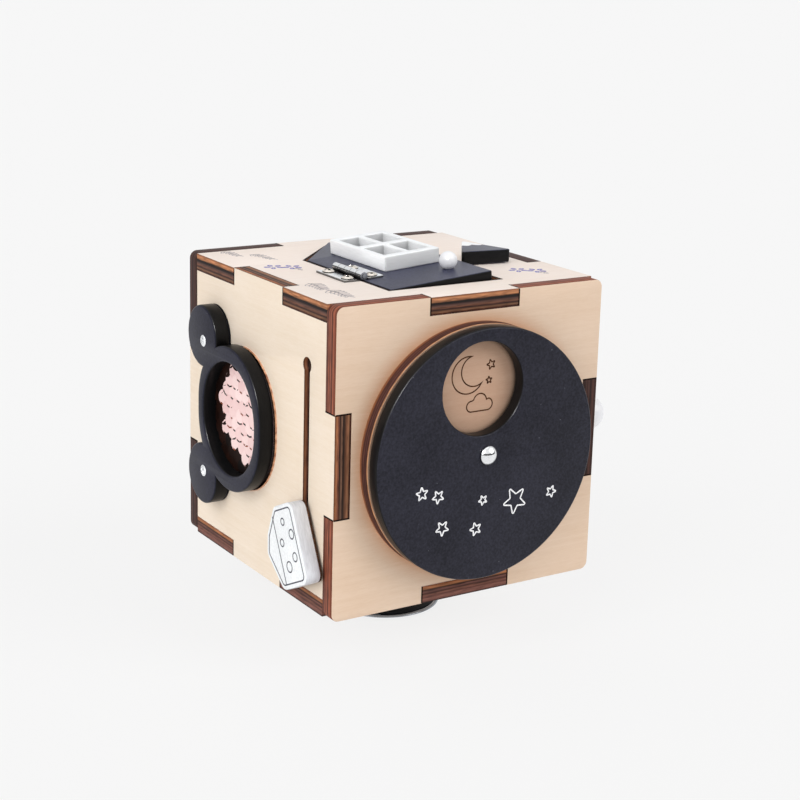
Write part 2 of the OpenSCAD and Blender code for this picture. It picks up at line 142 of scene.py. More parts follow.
DOOR_KNOB_R = 3 * MM
DOOR_KNOB_SINK = 0.4 * MM
HINGE_LEAF_T = 0.7 * MM
HINGE_SCREW = (4.3 * MM, 6 * MM)
BUTTON_W = 18.8 * MM
BUTTON_L = 18.9 * MM
BUTTON_TURN = math.radians(-7.6)
BUTTON_R = 0.8 * MM
BUTTON_REACH = ((BUTTON_W / 2) ** 2 + BUTTON_L ** 2) / (2 * BUTTON_L)
BUTTON_FOOT = BUTTON_L - BUTTON_REACH
SNOW_LINE = 11.4 * MM
SCALLOP_W = 4.4 * MM
SCALLOP_H = 1.6 * MM
KNOB_NECK_R = 2.5 * MM
KNOB_COLLAR_R = 4 * MM
KNOB_COLLAR_H = 1.2 * MM
BEVEL = 0.3 * MM
THIN_EDGE = 0.1 * MM
CLOTH_EDGE = 0.15 * MM
SHARP_ANGLE = math.radians(38)

# Screws: head radius and height, shank radius and length, and depth of the cross
FRAME_HEAD = np.array([1.95, 0.7, 1.1, 9.8, 0.3]) * MM
HINGE_HEAD = np.array([2.1, 0.9, 0.75, 3.2, 0.8]) * MM

# Burnt tones of the cut edges, evenly spaced from a panel's outer face to its inner one
TOP_PLIES = "7E4E34 B97C54 A46C48 120A09 1E110E 5A3E36 6E4634 241412 7E563E 38180C"
BOTTOM_PLIES = "2A1712 74493F 7C5044 5A352E 764A3C 40231D 6E463C 22100C A66A44 8C5638"
SIDE_PLIES = "5E3218 9E6440 73422E 1E0E0A 74523F 120705 4E3222 7E5038 96684A 30120A"
DARK_PLIES = "40241C 2C1814 52322A 3A221D 1E100E 4C302A 341E1A 4E3028 281612 3A221A"
FRONT_PLIES = "7C4228 5E2E22 9A563E 844A36 3C1C16 945640 68392C 8E5038 4A261E 704030"
PICTURE_PLIES = "C08A60 4A241A 351A16 56302A 321815 5A342A 3C1E1A 4E2A20 8A5638 B07048"

# Light and dark tone of bare wood
WARM_WOOD = ("E0C8B2", "D5B89D")
PALE_WOOD = ("EDDECD", "E3D0B8")
LID_WOOD = ("EDE2DA", "E4D4C8")
PICTURE_WOOD = ("C2A189", "B58F76")

# Painted shade on wood near other pieces: reach of a hollow, shares of open sky from shaded to plain, and the
# shade's tint
FRONT_PAINTED_SHADE = (6 * MM, (0.4, 1.0), "F2D2B8")
PICTURE_PAINTED_SHADE = (2.5 * MM, (0.1, 0.7), "626262")

# One charcoal paint in three tones, as lit and shaded copies, for boards whose thickness runs along X, Y and
# Z:
# the Z one, on boards that face up, is lighter and bluer as a painted sheen, and the X one is darker as
# painted shade.
# What they share: wall and fleck colour, darkest share of the wall, roughness and gloss
CHARCOAL_LIT_COPIES = ("21212F", "272730", "34364A")
CHARCOAL_FINISH = ("171718", "6A6A72", 0.6, 0.3, 0.12)

# Sequins: tones, as places on their colour ramp, and how many sides each rim has
TONE_DARK = (0.0, 0.05)
TONE_COPPER = 0.08
TONE_PINK = (0.3, 1.0)
SEQUIN_SIDES = 12

# Photograph's camera, in the frame's own axes
CAMERA_AT = (-303.9 * MM, -481.3 * MM, 230.2 * MM)
CAMERA_HEADING = math.radians(32.665)
CAMERA_PITCH = math.radians(-14.203)
CAMERA_ROLL = math.radians(1.552)
CAMERA_LENS = 78.05
CAMERA_SENSOR = 36.0
CAMERA_SHIFT_Y = -0.05

# Where each face of the cube is: its middle, its right and its up as seen from outside
FACES = {
    "front": ((0, -HALF, Z_MID), (1, 0, 0), (0, 0, 1)),
    "back": ((0, HALF, Z_MID), (-1, 0, 0), (0, 0, 1)),
    "left": ((-HALF, 0, Z_MID), (0, -1, 0), (0, 0, 1)),
    "right": ((HALF, 0, Z_MID), (0, 1, 0), (0, 0, 1)),
    "top": ((0, 0, Z_TOP), (1, 0, 0), (0, 1, 0)),
    "bottom": ((0, 0, Z_BOTTOM), (1, 0, 0), (0, -1, 0)),
    "table": ((0, 0, 0), (1, 0, 0), (0, 1, 0)),
}


def door_face():
    """The top face turned about the hinge line by the angle that the door stands ajar."""
    c, s = math.cos(DOOR_AJAR), math.sin(DOOR_AJAR)
    dx, dz = -HINGE_X, Z_TOP - HINGE_Z
    return (HINGE_X + dx * c - dz * s, 0, HINGE_Z + dx * s + dz * c), (c, 0, s), (0, 1, 0)


FACES["door"] = door_face()


def linear(code):
    """An sRGB hex colour as linear RGBA: the sRGB curve undone for each channel."""
    srgb = np.array([int(code[i:i + 2], 16) for i in (0, 2, 4)]) / 255
    rgb = np.where(srgb <= 0.04045, srgb / 12.92, ((srgb + 0.055) / 1.055) ** 2.4)
    return (*rgb.tolist(), 1.0)


# Outlines on a face, all closed ones anticlockwise

def unit(v):
    """Each row scaled to length 1."""
    return v / np.linalg.norm(v, axis=-1, keepdims=True)


def arc(centre, radius, start, end, steps):
    """Points on a circle from one angle to another, in radians, both ends included."""
    angle = np.linspace(start, end, steps)
    return np.asarray(centre) + radius * np.stack([np.cos(angle), np.sin(angle)], axis=1)


def circle(centre, radius, steps=96):
    """A closed circle."""
    return arc(centre, radius, 0, 2 * math.pi, steps + 1)[:-1]


def stadium(centre, radius, rise, steps=64):
    """A circle drawn out upwards and downwards: two half circles, rise above and below the centre."""
    x, y = centre
    upper = arc((x, y + rise), radius, 0, math.pi, steps)
    lower = arc((x, y - rise), radius, math.pi, 2 * math.pi, steps)
    return np.concatenate([upper, lower])


def rounded_loop(corners, radius, steps=6):
    """A closed outline whose corners are arcs. Each arc's centre lies on the corner's bisector,
    and the arc touches both sides."""
    p = np.asarray(corners, float)
    back = unit(np.roll(p, 1, axis=0) - p)
    ahead = unit(np.roll(p, -1, axis=0) - p)
    half = np.arccos(np.clip((back * ahead).sum(1, keepdims=True), -1, 1)) / 2
    centre = p + unit(back + ahead) * radius / np.sin(half)
    start = p + back * radius / np.tan(half) - centre
    end = p + ahead * radius / np.tan(half) - centre
    first = np.arctan2(start[:, 1], start[:, 0])
    sweep = (np.arctan2(end[:, 1], end[:, 0]) - first + math.pi) % (2 * math.pi) - math.pi
    angle = first[:, None] + sweep[:, None] * np.linspace(0, 1, steps + 1)
    return (centre[:, None] + radius * np.stack([np.cos(angle), np.sin(angle)], -1)).reshape(-1, 2)


def turned_by(points, angle):
    """Points turned anticlockwise about the origin."""
    c, s = math.cos(angle), math.sin(angle)
    return np.asarray(points) @ np.array([[c, s], [-s, c]])


def inset(loop, distance):
    """The loop moved to the left of its travel by distance, each point along the mitre of its two sides."""
    before = unit(loop - np.roll(loop, 1, axis=0)) @ np.array([[0, 1], [-1, 0]])
    after = np.roll(before, -1, axis=0)
    return loop + distance * (before + after) / (1 + (before * after).sum(1, keepdims=True))


def finger_outline(half_u, half_v, depth_u, depth_v, width, corner=0):
    """A rectangle with a tab (depth over 0) or a notch (under 0) in the middle of each side.
    depth_u is on the sides across the right axis, depth_v on those across the up axis."""
    w = width / 2
    along = np.array([-w, -w, w, w])
    out_u = np.array([0, depth_u, depth_u, 0])
    out_v = np.array([0, depth_v, depth_v, 0])
    sides = [
        np.stack([along, -half_v - out_v], 1),
        np.stack([half_u + out_u, along], 1),
        np.stack([-along, half_v + out_v], 1),
        np.stack([-half_u - out_u, -along], 1),
    ]
    quarter = math.pi / 2
    steps = 9 if corner else 1
    loop = []
    for k, (side, (su, sv)) in enumerate(zip(sides, [(1, -1), (1, 1), (-1, 1), (-1, -1)])):
        centre = (su * (half_u - corner), sv * (half_v - corner))
        loop += [side, arc(centre, corner, (k - 1) * quarter, k * quarter, steps)]
    return np.concatenate(loop)


def house_outline(left=0, near=0, right=0):
    """The door's outline, a square-sided house with a 45 degree gable, widened by gaps on its sides."""
    x0 = DOOR_X0 - left
    x1 = DOOR_X0 + DOOR_W + right
    y0 = DOOR_Y0 - near
    y1 = DOOR_Y0 + DOOR_SIDE + near
    gable = (x1 - x0) / 2
    return np.array([[x0, y0], [x1, y0], [x1, y1], [x0 + gable, y1 + gable], [x0, y1]])


def keyhole_outline(length):
    """A slot with a half-round lower end, whose upper end widens into the round keyhole."""
    r, big = SLOT_W / 2, KEYHOLE_D / 2
    meet = math.acos(r / big)
    lower = arc((0, 0), r, math.pi, 2 * math.pi, 17)
    upper = arc((0, length), big, -meet, math.pi + meet, 33)
    return np.concatenate([lower, upper])


def ear_frame_outline():
    """An upright stadium with a round ear on each left shoulder.
    Each ear's circle is cut where it meets the stadium."""
    centre = np.array([0, OVAL_RISE])
    apart = EAR - centre
    d = np.hypot(*apart)
    along = (OVAL_R ** 2 - EAR_R ** 2 + d ** 2) / (2 * d)
    toward = math.atan2(apart[1], apart[0])
    spread = math.acos(along / OVAL_R)
    ear_spread = math.acos((d - along) / EAR_R)
    upper = np.concatenate([
        arc(centre, OVAL_R, 0, toward - spread, 40),
        arc(EAR, EAR_R, toward - math.pi + ear_spread, toward + math.pi - ear_spread, 48),
        arc(centre, OVAL_R, toward + spread, math.pi, 12),
    ])
    lower = upper[::-1] * np.array([1, -1])
    return np.concatenate([upper, lower]) + OVAL


# Solids: each is its points, and blocks of faces with a flag that says whether the block is shaded smooth

def grid_quads(rows, cols, wrap_rows=False, wrap_cols=True):
    """Quads between neighbours of a grid of points stored row by row."""
    r = np.arange(rows if wrap_rows else rows - 1)[:, None]
    c = np.arange(cols if wrap_cols else cols - 1)[None, :]
    r1, c1 = (r + 1) % rows, (c + 1) % cols
    quads = [r * cols + c, r * cols + c1, r1 * cols + c1, r1 * cols + c]
    return np.stack(np.broadcast_arrays(*quads), axis=-1).reshape(-1, 4)


def filled(points, rims, upwards):
    """Triangles that fill the area between an outer rim and its holes, all facing up or all facing down."""
    order = np.concatenate(rims)
    tris = order[np.array(tessellate_polygon([points[rim].tolist() for rim in rims]))]
    a, b, c = (points[tris[:, k], :2] for k in range(3))
    faces_up = np.cross(b - a, c - a) > 0
    return np.where((faces_up == upwards)[:, None], tris, tris[:, ::-1])


def plate(outline, thickness, edge, holes=(), steps=4):
    """A flat board. Its edge, a quarter circle at each face, is carried along the outline and each hole,
    and the faces between them are filled."""
    quarter = np.linspace(0, math.pi / 2, steps + 1)
    inward = edge * (1 - np.sin(quarter))
    up = edge * (1 - np.cos(quarter))
    inward = np.concatenate([inward, inward[::-1]])
    height = np.concatenate([up, thickness - up[::-1]])
    rows = len(height)
    points, faces, low, high = [], [], [], []
    start = 0
    for loop in [outline, *(hole[::-1] for hole in holes)]:
        count = len(loop)
        flat = np.stack([inset(loop, d) for d in inward])
        rise = np.broadcast_to(height[:, None, None], (rows, count, 1))
        points.append(np.concatenate([flat, rise], axis=2).reshape(-1, 3))
        faces.append((start + grid_quads(rows, count), True))
        low.append(start + np.arange(count))
        high.append(start + (rows - 1) * count + np.arange(count))
        start += rows * count
    points = np.concatenate(points)
    faces.append((filled(points, low, False), False))
    faces.append((filled(points, high, True), False))
    return points, faces


def lathe(profile, steps=64, closed=False):
    """A surface of revolution about the outward axis. The profile's (radius, height) rows run up its outside.
    Ends at radius 0 close to a point, and a closed profile joins its last row to its first."""
    profile = np.asarray(profile, float)
    on_axis = profile[:, 0] < 1e-9
    body = profile[~on_axis]
    angle = np.linspace(0, 2 * math.pi, steps, endpoint=False)
    flat = body[:, :1, None] * np.stack([np.cos(angle), np.sin(angle)], 1)
    rise = np.broadcast_to(body[:, 1:, None], (len(body), steps, 1))
    points = np.concatenate([flat, rise], axis=2).reshape(-1, 3)
    faces = [(grid_quads(len(body), steps, wrap_rows=closed), True)]
    here = np.arange(steps)
    ahead = (here + 1) % steps
    for end, first, second, rim in ((0, ahead, here, 0), (-1, here, ahead, (len(body) - 1) * steps)):
        if on_axis[end]:
            pole = np.full(steps, len(points))
            faces.append((np.stack([pole, rim + first, rim + second], 1), True))
            points = np.concatenate([points, [[0, 0, profile[end, 1]]]])
    return points, faces


def ribbon(path, width, rise, closed=True):
    """A drawn stroke: a low trapezium of that width carried along a path."""
    path = np.asarray(path, float)
    if closed:
        left = inset(path, 1) - path
    else:
        left = unit(np.gradient(path, axis=0)) @ np.array([[0, 1], [-1, 0]])
    across = np.array([0.5, -0.5, -0.42, 0.42]) * width
    height = np.array([-0.5, -0.5, 1, 1]) * rise
    flat = path[None] + across[:, None, None] * left[None]
    up = np.broadcast_to(height[:, None, None], (4, len(path), 1))
    points = np.concatenate([flat, up], axis=2).reshape(-1, 3)
    faces = [(grid_quads(4, len(path), wrap_rows=True, wrap_cols=closed), False)]
    if not closed:
        ends = np.arange(4) * len(path)
        faces.append((np.stack([ends, ends[::-1] + len(path) - 1]), False))
    return points, faces


def dome(radius, base, top, steps):
    """Profile of a cap of a ball, from its rim at height base to its pole at height top."""
    cap = top - base
    ball = (radius ** 2 + cap ** 2) / (2 * cap)
    r = np.linspace(radius, 0, steps)
    return np.stack([r, top - ball + np.sqrt(ball ** 2 - r ** 2)], 1)


def screw(head_r, head_h, shank_r, shank_l, recess):
    """A dome-headed screw. The dome is a cap of a ball on a short rim, and a cross is pressed into it."""
    stem = [[0, -shank_l], [shank_r, -shank_l], [shank_r, 0], [0.96 * head_r, 0]]
    points, faces = lathe(np.concatenate([stem, dome(head_r, 0.2 * head_h, head_h, 22)]), 72)
    x, y = np.abs(points[:, 0]), np.abs(points[:, 1])
    arm = np.clip((0.2 * head_r - np.minimum(x, y)) / (0.08 * head_r), 0, 1)
    end = np.clip((0.65 * head_r - np.maximum(x, y)) / (0.15 * head_r), 0, 1)
    points[:, 2] -= np.where(points[:, 2] > 0, recess * arm * end, 0)
    return points, faces


def joined(shapes):
    """Several solids as one."""
    points, faces, start = [], [], 0
    for shape_points, shape_faces in shapes:
        points.append(shape_points)
        faces += [(block + start, smooth) for block, smooth in shape_faces]
        start += len(shape_points)
    return np.concatenate(points), faces


def placed(shape, face, at=(0, 0), out=0.0, turn=0.0):
    """A solid turned on its face, moved to a place on it and raised by out."""
    points, faces = shape
    origin, right, up = (np.array(v, float) for v in FACES[face])
    flat = turned_by(points[:, :2], turn) + np.asarray(at)
    away = np.cross(right, up)
    world = origin + flat[:, :1] * right + flat[:, 1:] * up + (points[:, 2:] + out) * away
    return world, faces


def make_piece(name, shape, material, body, replaces=()):
    """A mesh object at the origin that rides on a body and stands for the CAD nodes that it replaces."""
    points, faces = shape
    mesh = bpy.data.meshes.new(name)
    mesh.from_pydata(points.tolist(), [], [row for block, _ in faces for row in block.tolist()])
    smooth = np.concatenate([np.full(len(block), flag) for block, flag in faces])
    mesh.polygons.foreach_set("use_smooth", smooth)
    mesh.set_sharp_from_angle(angle=SHARP_ANGLE)
    mesh.materials.append(material)
    piece = bpy.data.objects.new(name, mesh)
    bpy.context.scene.collection.objects.link(piece)
    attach(piece, body)
    if replaces:
        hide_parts(*replaces)
    return piece


def dress_nodes(material, *names):
    """Gives CAD nodes that keep their own shape a finish."""
    for name in names:
        mesh = frame["nodes"][name].data
        mesh.materials.clear()
        mesh.materials.append(material)


# Node trees: add makes every node, and most functions after it return the output that is used

def add(tree, kind, links=None, stops=None, **settings):
    """Adds a node. links feed its inputs with values or outputs, and stops fill a colour ramp."""
    made = tree.nodes.new(kind)
    for key, value in settings.items():
        setattr(made, key, value)
    for socket, value in (links or {}).items():
        if isinstance(value, bpy.types.NodeSocket):
            tree.links.new(value, made.inputs[socket])
        else:
            made.inputs[socket].default_value = value
    if stops:
        points = made.color_ramp.elements
        while len(points) < len(stops):
            points.new(1.0)
        for point, (position, colour) in zip(points, stops):
            point.position = position
            point.color = colour
    return made


def maths(tree, operation, *values):
    """One step of arithmetic."""
    return add(tree, "ShaderNodeMath", dict(enumerate(values)), operation=operation).outputs[0]


def remap(tree, value, low, high, to_low=0.0, to_high=1.0, **settings):
    """A value carried from one range to another, and kept inside it."""
    links = {"Value": value, "From Min": low, "From Max": high, "To Min": to_low, "To Max": to_high}
    return add(tree, "ShaderNodeMapRange", links, **settings).outputs[0]


def ramp(tree, value, *stops):
    """A colour that changes with a value. Each stop is a position and a hex colour."""
    stops = [(position, linear(code)) for position, code in stops]
    return add(tree, "ShaderNodeValToRGB", {0: value}, stops).outputs[0]


def mixed(tree, share, a, b, **settings):
    """A share of colour b over colour a."""
    return add(tree, "ShaderNodeMix", {0: share, 6: a, 7: b}, data_type="RGBA", **settings).outputs[2]


def times(tree, a, b):
    """Two colours multiplied."""
    return mixed(tree, 1.0, a, b, blend_type="MULTIPLY")


def between(tree, share, a, b):
    """A number between a and b."""
    return add(tree, "ShaderNodeMix", {0: share, 2: a, 3: b}).outputs[0]


def bump(tree, height, strength, depth):
    """Normals of a surface that is raised by a height."""
    return add(tree, "ShaderNodeBump", {"Height": height, "Strength": strength, "Distance": depth}).outputs[0]


def coordinates(tree, kind):
    """Where a point lies (Object) or which way it faces (Normal), along the piece's own axes."""
    return add(tree, "ShaderNodeTexCoord").outputs[kind]


def axes(tree, vector):
    """The X, Y and Z of a vector."""
    return add(tree, "ShaderNodeSeparateXYZ", {0: vector}).outputs


def face_mask(tree, axis):
    """1 on the broad faces of a board whose thickness runs along axis, 0 on its cut edges."""
    facing = maths(tree, "ABSOLUTE", axes(tree, coordinates(tree, "Normal"))[axis])
    return remap(tree, facing, 0.55, 0.8, interpolation_type="SMOOTHSTEP")


def drawn_out(size, axis, length):
    """Sizes along X, Y and Z: length along one axis, size along the others."""
    return [length if k == axis else size for k in range(3)]


def noise(tree, sizes_mm, detail, distortion=0.0):
    """Noise whose blobs have the given lengths along X, Y and Z, or one length along all, in millimetres."""
    scale = (1 / (np.broadcast_to(sizes_mm, 3) * MM)).tolist()
    mapped = add(tree, "ShaderNodeMapping", {"Vector": coordinates(tree, "Object"), "Scale": scale})
    links = {"Vector": mapped.outputs[0], "Scale": 1.0, "Detail": detail, "Distortion": distortion}
    return add(tree, "ShaderNodeTexNoise", links).outputs["Fac"]


def cells(tree, size_mm):
    """Distance from the middles of scattered cells of that size, in millimetres."""
    links = {"Vector": coordinates(tree, "Object"), "Scale": 1 / (size_mm * MM)}
    return add(tree, "ShaderNodeTexVoronoi", links).outputs["Distance"]


def painted_shade_in_hollows(tree, colour, reach, span, dim_code, alone):
    """Painted shade: a colour darkened by a tint where surfaces closer than reach hide the sky. Alone, only
    its own piece's count.
    """
    sky = add(tree, "ShaderNodeAmbientOcclusion", {"Distance": reach}, only_local=alone, samples=8)
    return times(tree, colour, ramp(tree, sky.outputs["AO"], (span[0], dim_code), (span[1], "FFFFFF")))


def new_material(name):
    """An empty material and its node tree."""
    material = bpy.data.materials.new(name)
    material.use_nodes = True
    material.node_tree.nodes.clear()
    return material, material.node_tree


def shaded(tree, links):
    """Ends a tree with a principled shader."""
    shader = add(tree, "ShaderNodeBsdfPrincipled", links)
    add(tree, "ShaderNodeOutputMaterial", {"Surface": shader.outputs[0]})


# Materials

@functools.cache
def basswood_plywood(name, axis, outer, thickness, tones, plies, hollows=None):
    """Sanded basswood plywood, cut by laser. The faces are pale with fine streaks along the grain and pores.
    The cut edges are burnt: red-brown and tan plies with dark glue lines between them.
    Hollows may be darkened by painted shade."""
    material, tree = new_material(name)
    grain = 1 if axis == 0 else 0
    streaks = noise(tree, drawn_out(1.1, grain, 22.0), 4.0, 0.3)
    pores = noise(tree, drawn_out(0.3, grain, 2.4), 2.0)
    clouds = noise(tree, 26, 2.0)
    tone = maths(tree, "MULTIPLY", streaks, 0.4)
    tone = maths(tree, "MULTIPLY_ADD", pores, 0.35, tone)
    tone = maths(tree, "MULTIPLY_ADD", clouds, 0.45, tone)
    face = ramp(tree, tone, (0.42, tones[0]), (0.92, tones[1]))

    middle = Z_MID if axis == 2 else 0.0
    place = axes(tree, coordinates(tree, "Object"))[axis]
    off = maths(tree, "ABSOLUTE", maths(tree, "SUBTRACT", place, middle))
    burn = noise(tree, drawn_out(5.0, axis, 0.5), 4.0, 0.4)
    depth = maths(tree, "MULTIPLY_ADD", burn, 0.08, remap(tree, off, outer, outer - thickness))
    codes = plies.split()
    layers = ramp(tree, depth, *(((k + 0.75) / len(codes), code) for k, code in enumerate(codes)))
    edge = times(tree, layers, remap(tree, burn, 0.3, 0.75, 1.4, 0.5))
    colour = mixed(tree, face_mask(tree, axis), edge, face)
    # painted shade where other pieces are near: round the disc on the front, and in the gap under the disc on
    # the picture board
    if hollows:
        colour = painted_shade_in_hollows(tree, colour, *hollows, False)
    shaded(tree, {"Base Color": colour, "Roughness": 0.62, "Specular IOR Level": 0.2,
                  "Normal": bump(tree, tone, 0.2, 0.06 * MM)})
    return material


def snow_mask(tree):
    """1 on the mountain's tip: past a line across it that is scalloped by arcs."""
    c, s = math.cos(BUTTON_TURN), math.sin(BUTTON_TURN)
    place = coordinates(tree, "Object")
    along, across = (
        add(tree, "ShaderNodeVectorMath", {0: place, 1: way}, operation="DOT_PRODUCT").outputs["Value"]
        for way in ((-s, c, 0), (c, s, 0)))
    wave = maths(tree, "SINE", maths(tree, "MULTIPLY", across, math.pi / SCALLOP_W))
    height = maths(tree, "MULTIPLY_ADD", maths(tree, "ABSOLUTE", wave), SCALLOP_H, along)
    line = c * BUTTON_Y - s * BUTTON_X - BUTTON_FOOT + SNOW_LINE
    return remap(tree, height, line, line + 0.15 * MM)


@functools.cache
def painted_board(name, axis, face_code, wall_code, fleck_code, wall_dim, roughness, gloss,
                  y_facing_shade=1.0, snow_code=None):
    """Painted plywood. Paint rolled on the face dries with a fine grain and a few dust flecks.
    The cut edge takes the paint unevenly, so it shows the plies as streaks, and it is dimmed as painted shade
    where it faces along Y. Hollows are darkened by painted shade. A snow colour covers the mountain's tip."""
    material, tree = new_material(name)
    clouds = noise(tree, 18, 3.0)
    peel = noise(tree, 0.7, 2.0)
    fleck = remap(tree, cells(tree, 4.5), 0.04, 0.02)
    grain = maths(tree, "MULTIPLY_ADD", peel, 1.6, clouds)
    mottle = 2.4 * (1 - wall_dim) ** 2
    shade = remap(tree, grain, 0.9, 1.7, 1 - mottle, 1 + mottle)
    face = mixed(tree, fleck, times(tree, linear(face_code), shade), linear(fleck_code))
    streaks = noise(tree, drawn_out(3.0, axis, 0.4), 4.0)
    wall = times(tree, linear(wall_code), remap(tree, streaks, 0.3, 0.7, wall_dim, 1.0))
    along_y = maths(tree, "ABSOLUTE", axes(tree, coordinates(tree, "Normal"))["Y"])
    # painted shade: cut edges that face along Y are dimmed
    wall = times(tree, wall, remap(tree, along_y, 0.4, 0.8, 1.0, y_facing_shade))
    colour = mixed(tree, face_mask(tree, axis), wall, face)
    # painted shade in the piece's own hollows, such as the lattice's panes and the disc's window
    colour = painted_shade_in_hollows(tree, colour, 6 * MM, (0.35, 1.0), "BCBCBC", True)
    if snow_code:
        colour = mixed(tree, snow_mask(tree), colour, linear(snow_code))
    shaded(tree, {"Base Color": colour, "Roughness": roughness, "Specular IOR Level": gloss,
                  "Normal": bump(tree, peel, 0.2, 0.05 * MM)})
    return material


def black_board(axis):
    """Charcoal paint, for a board whose thickness runs along axis, in that axis's tone of painted light."""
    return painted_board(f"charcoal_paint_{'xyz'[axis]}", axis, CHARCOAL_LIT_COPIES[axis], *CHARCOAL_FINISH)


def snow_capped_board():
    """Charcoal paint with a white tip, on the mountain button, in the upward tone that carries a painted
    sheen.
    """
    return painted_board("snow_capped_paint", 2, CHARCOAL_LIT_COPIES[2], *CHARCOAL_FINISH, snow_code="F3F4F5")


def white_board(axis, wall_code, wall_dim, y_facing_shade=1.0):
    """White paint, for a board whose thickness runs along axis. Its edge takes a tone of its own, set as
    painted light and shade, and it may be dimmed as painted shade where it faces along Y.
    """
    name = f"white_paint_{'xyz'[axis]}"
    return painted_board(name, axis, "EDEFF1", wall_code, "F7F7F7", wall_dim, 0.45, 0.5, y_facing_shade)


@functools.cache
def plated_steel(name, code, roughness, brush_mm, reach=1.2 * MM, alone=True):
    """Plated steel: bright, with fine drawn lines that break up its reflections, and painted shade in its
    hollows.
    """
    material, tree = new_material(name)
    lines = noise(tree, brush_mm, 3.0)
    colour = times(tree, linear(code), remap(tree, lines, 0.3, 0.7, 0.85, 1.0))
    # painted shade: darker where nearby surfaces hide the sky
    colour = painted_shade_in_hollows(tree, colour, reach, (0.5, 0.92), "454545", alone)
    rough = remap(tree, lines, 0.0, 1.0, 0.7 * roughness, 1.3 * roughness)
    shaded(tree, {"Base Color": colour, "Metallic": 1.0, "Roughness": rough,
                  "Normal": bump(tree, lines, 0.1, 0.02 * MM)})
    return material


def zinc_steel():
    """Satin zinc plate on small screws and washers."""
    return plated_steel("zinc_plated_steel", "F8FAFC", 0.45, (1.5, 0.15, 0.15))


def brassed_steel():
    """Pale brass plate on the hinge screws, with painted shade where the hinge's leaf and barrel are near."""
    return plated_steel("brass_plated_steel", "EDE6DC", 0.08, 0.3, 2.5 * MM, False)


def hinge_steel():
    """Zinc plate on the hinge, dull, with painted shade round and under its barrel."""
    return plated_steel("hinge_steel", "F0F2F4", 0.1, (0.15, 1.5, 0.15), 4 * MM, False)


def bright_nickel():
    """Bright nickel on the pressed rivet."""
    return plated_steel("bright_nickel", "F5F6F8", 0.1, (0.8, 0.8, 0.2))


def grey_zinc():
    """Grey zinc on the foot's rolled rim."""
    return plated_steel("grey_zinc", "989DA3", 0.14, (2.5, 2.5, 0.3))


@functools.cache
def mottled(name, size_mm, detail, stops, roughness, gloss=0.5, relief=None):
    """A finish whose colour follows noise. relief is the strength and depth of bumps that follow it too."""
    material, tree = new_material(name)
    pattern = noise(tree, size_mm, detail)
    links = {"Base Color": ramp(tree, pattern, *stops), "Roughness": roughness, "Specular IOR Level": gloss}
    if relief:
        links["Normal"] = bump(tree, pattern, *relief)
    shaded(tree, links)
    return material


def turned_lacquer():
    """White lacquer on a turned wooden ball: smooth and satin, with the faintest mottling."""
    stops = ((0.3, "E2E3E7"), (0.7, "ECECEE"))
    return mottled("white_lacquer", 2.5, 3.0, stops, 0.34, relief=(0.08, 0.1 * MM))


def powder_coat():
    """Black powder coat on pressed steel: dull, with a fine pebbled skin. Its near-black tone is also painted
    shade, standing for the shade under the cube on the foot's plate.
    """
    stops = ((0.3, "0B0B0C"), (0.7, "151517"))
    return mottled("black_powder_coat", 0.5, 2.0, stops, 0.5, 0.12, (0.3, 0.05 * MM))


def moulded_rubber():
    """Moulded rubber: near black and dull, with a dusty bloom."""
    return mottled("moulded_rubber", 3, 4.0, ((0.3, "1A1A1B"), (0.75, "333335")), 0.85)


def drawn_ink(name, code, light_code, roughness):
    """A printed or burnt line: one colour that thins out here and there."""
    return mottled(name, 1.2, 3.0, ((0.35, code), (0.75, light_code)), roughness, 0.1)


def burnt_line():
    """Wood browned by the laser."""
    return drawn_ink("burnt_line", "3A2114", "5C3A22", 0.75)


def beaded(name, size_mm, stops, roughness):
    """A finish of small raised cells, whose colour changes from their middles outwards."""
    material, tree = new_material(name)
    away = cells(tree, size_mm)
    shaded(tree, {"Base Color": ramp(tree, away, *stops), "Roughness": roughness,
                  "Normal": bump(tree, away, 0.5, 0.2 * MM)})
    return material


def mesh_backing():
    """Knitted backing cloth of the sequins: dark copper-brown threads about 0.6 mm apart."""
    return beaded("knitted_backing", 0.6, ((0.1, "5A2F22"), (0.7, "1E1210")), 0.8)


def copper_edge():
    """The cloth's turned edge, where the copper backs of the sequins show."""
    stops = ((0.1, "E8B491"), (0.5, "D39A74"), (0.85, "8F5236"))
    return beaded("copper_sequin_edge", 1.6, stops, 0.35)


def sequin_film():
    """Two-sided sequin film: satin pale pink, each disc of a slightly different tone, with
    copper-brown backs."""
    material, tree = new_material("sequin_film")
    tone = add(tree, "ShaderNodeAttribute", attribute_name="tone").outputs["Fac"]
    stops = ((0.0, "0C0605"), (0.06, "26130D"), (0.09, "B8623E"), (0.13, "E6BFBD"), (1.0, "F8DEDB"))
    shaded(tree, {"Base Color": ramp(tree, tone, *stops), "Roughness": 0.4, "Specular IOR Level": 0.06})
    return material


# Line motifs, in millimetres round the origin: lists of (points, closed)

def crescent(radius):
    """Outer arc of a circle and inner arc of a second circle that meets it at the two tips."""
    tip = math.radians(55)
    end = radius * np.array([math.cos(tip), math.sin(tip)])
    centre = np.array([0.45 * radius, 0])
    inner = np.hypot(*(end - centre))
    angle = math.atan2(end[1], end[0] - centre[0])
    outer_arc = arc((0, 0), radius, tip, 2 * math.pi - tip, 40)
    inner_arc = arc(centre, inner, 2 * math.pi - angle, angle, 30)[1:-1]
    return [(np.concatenate([outer_arc, inner_arc]), True)]


def cloud(width):
    """Three bumps on a flat foot, each an arc that starts where the last one ends."""
    w = width / 2
    bumps = [((0.62 * w, 0.05 * w), 0.38 * w, -90, 75), ((0.05 * w, 0.30 * w), 0.5 * w, 8, 165),
             ((-0.60 * w, 0.02 * w), 0.35 * w, 85, 270)]
    return [(np.concatenate([arc(c, r, *np.radians([a, b]), 18) for c, r, a, b in bumps]), True)]


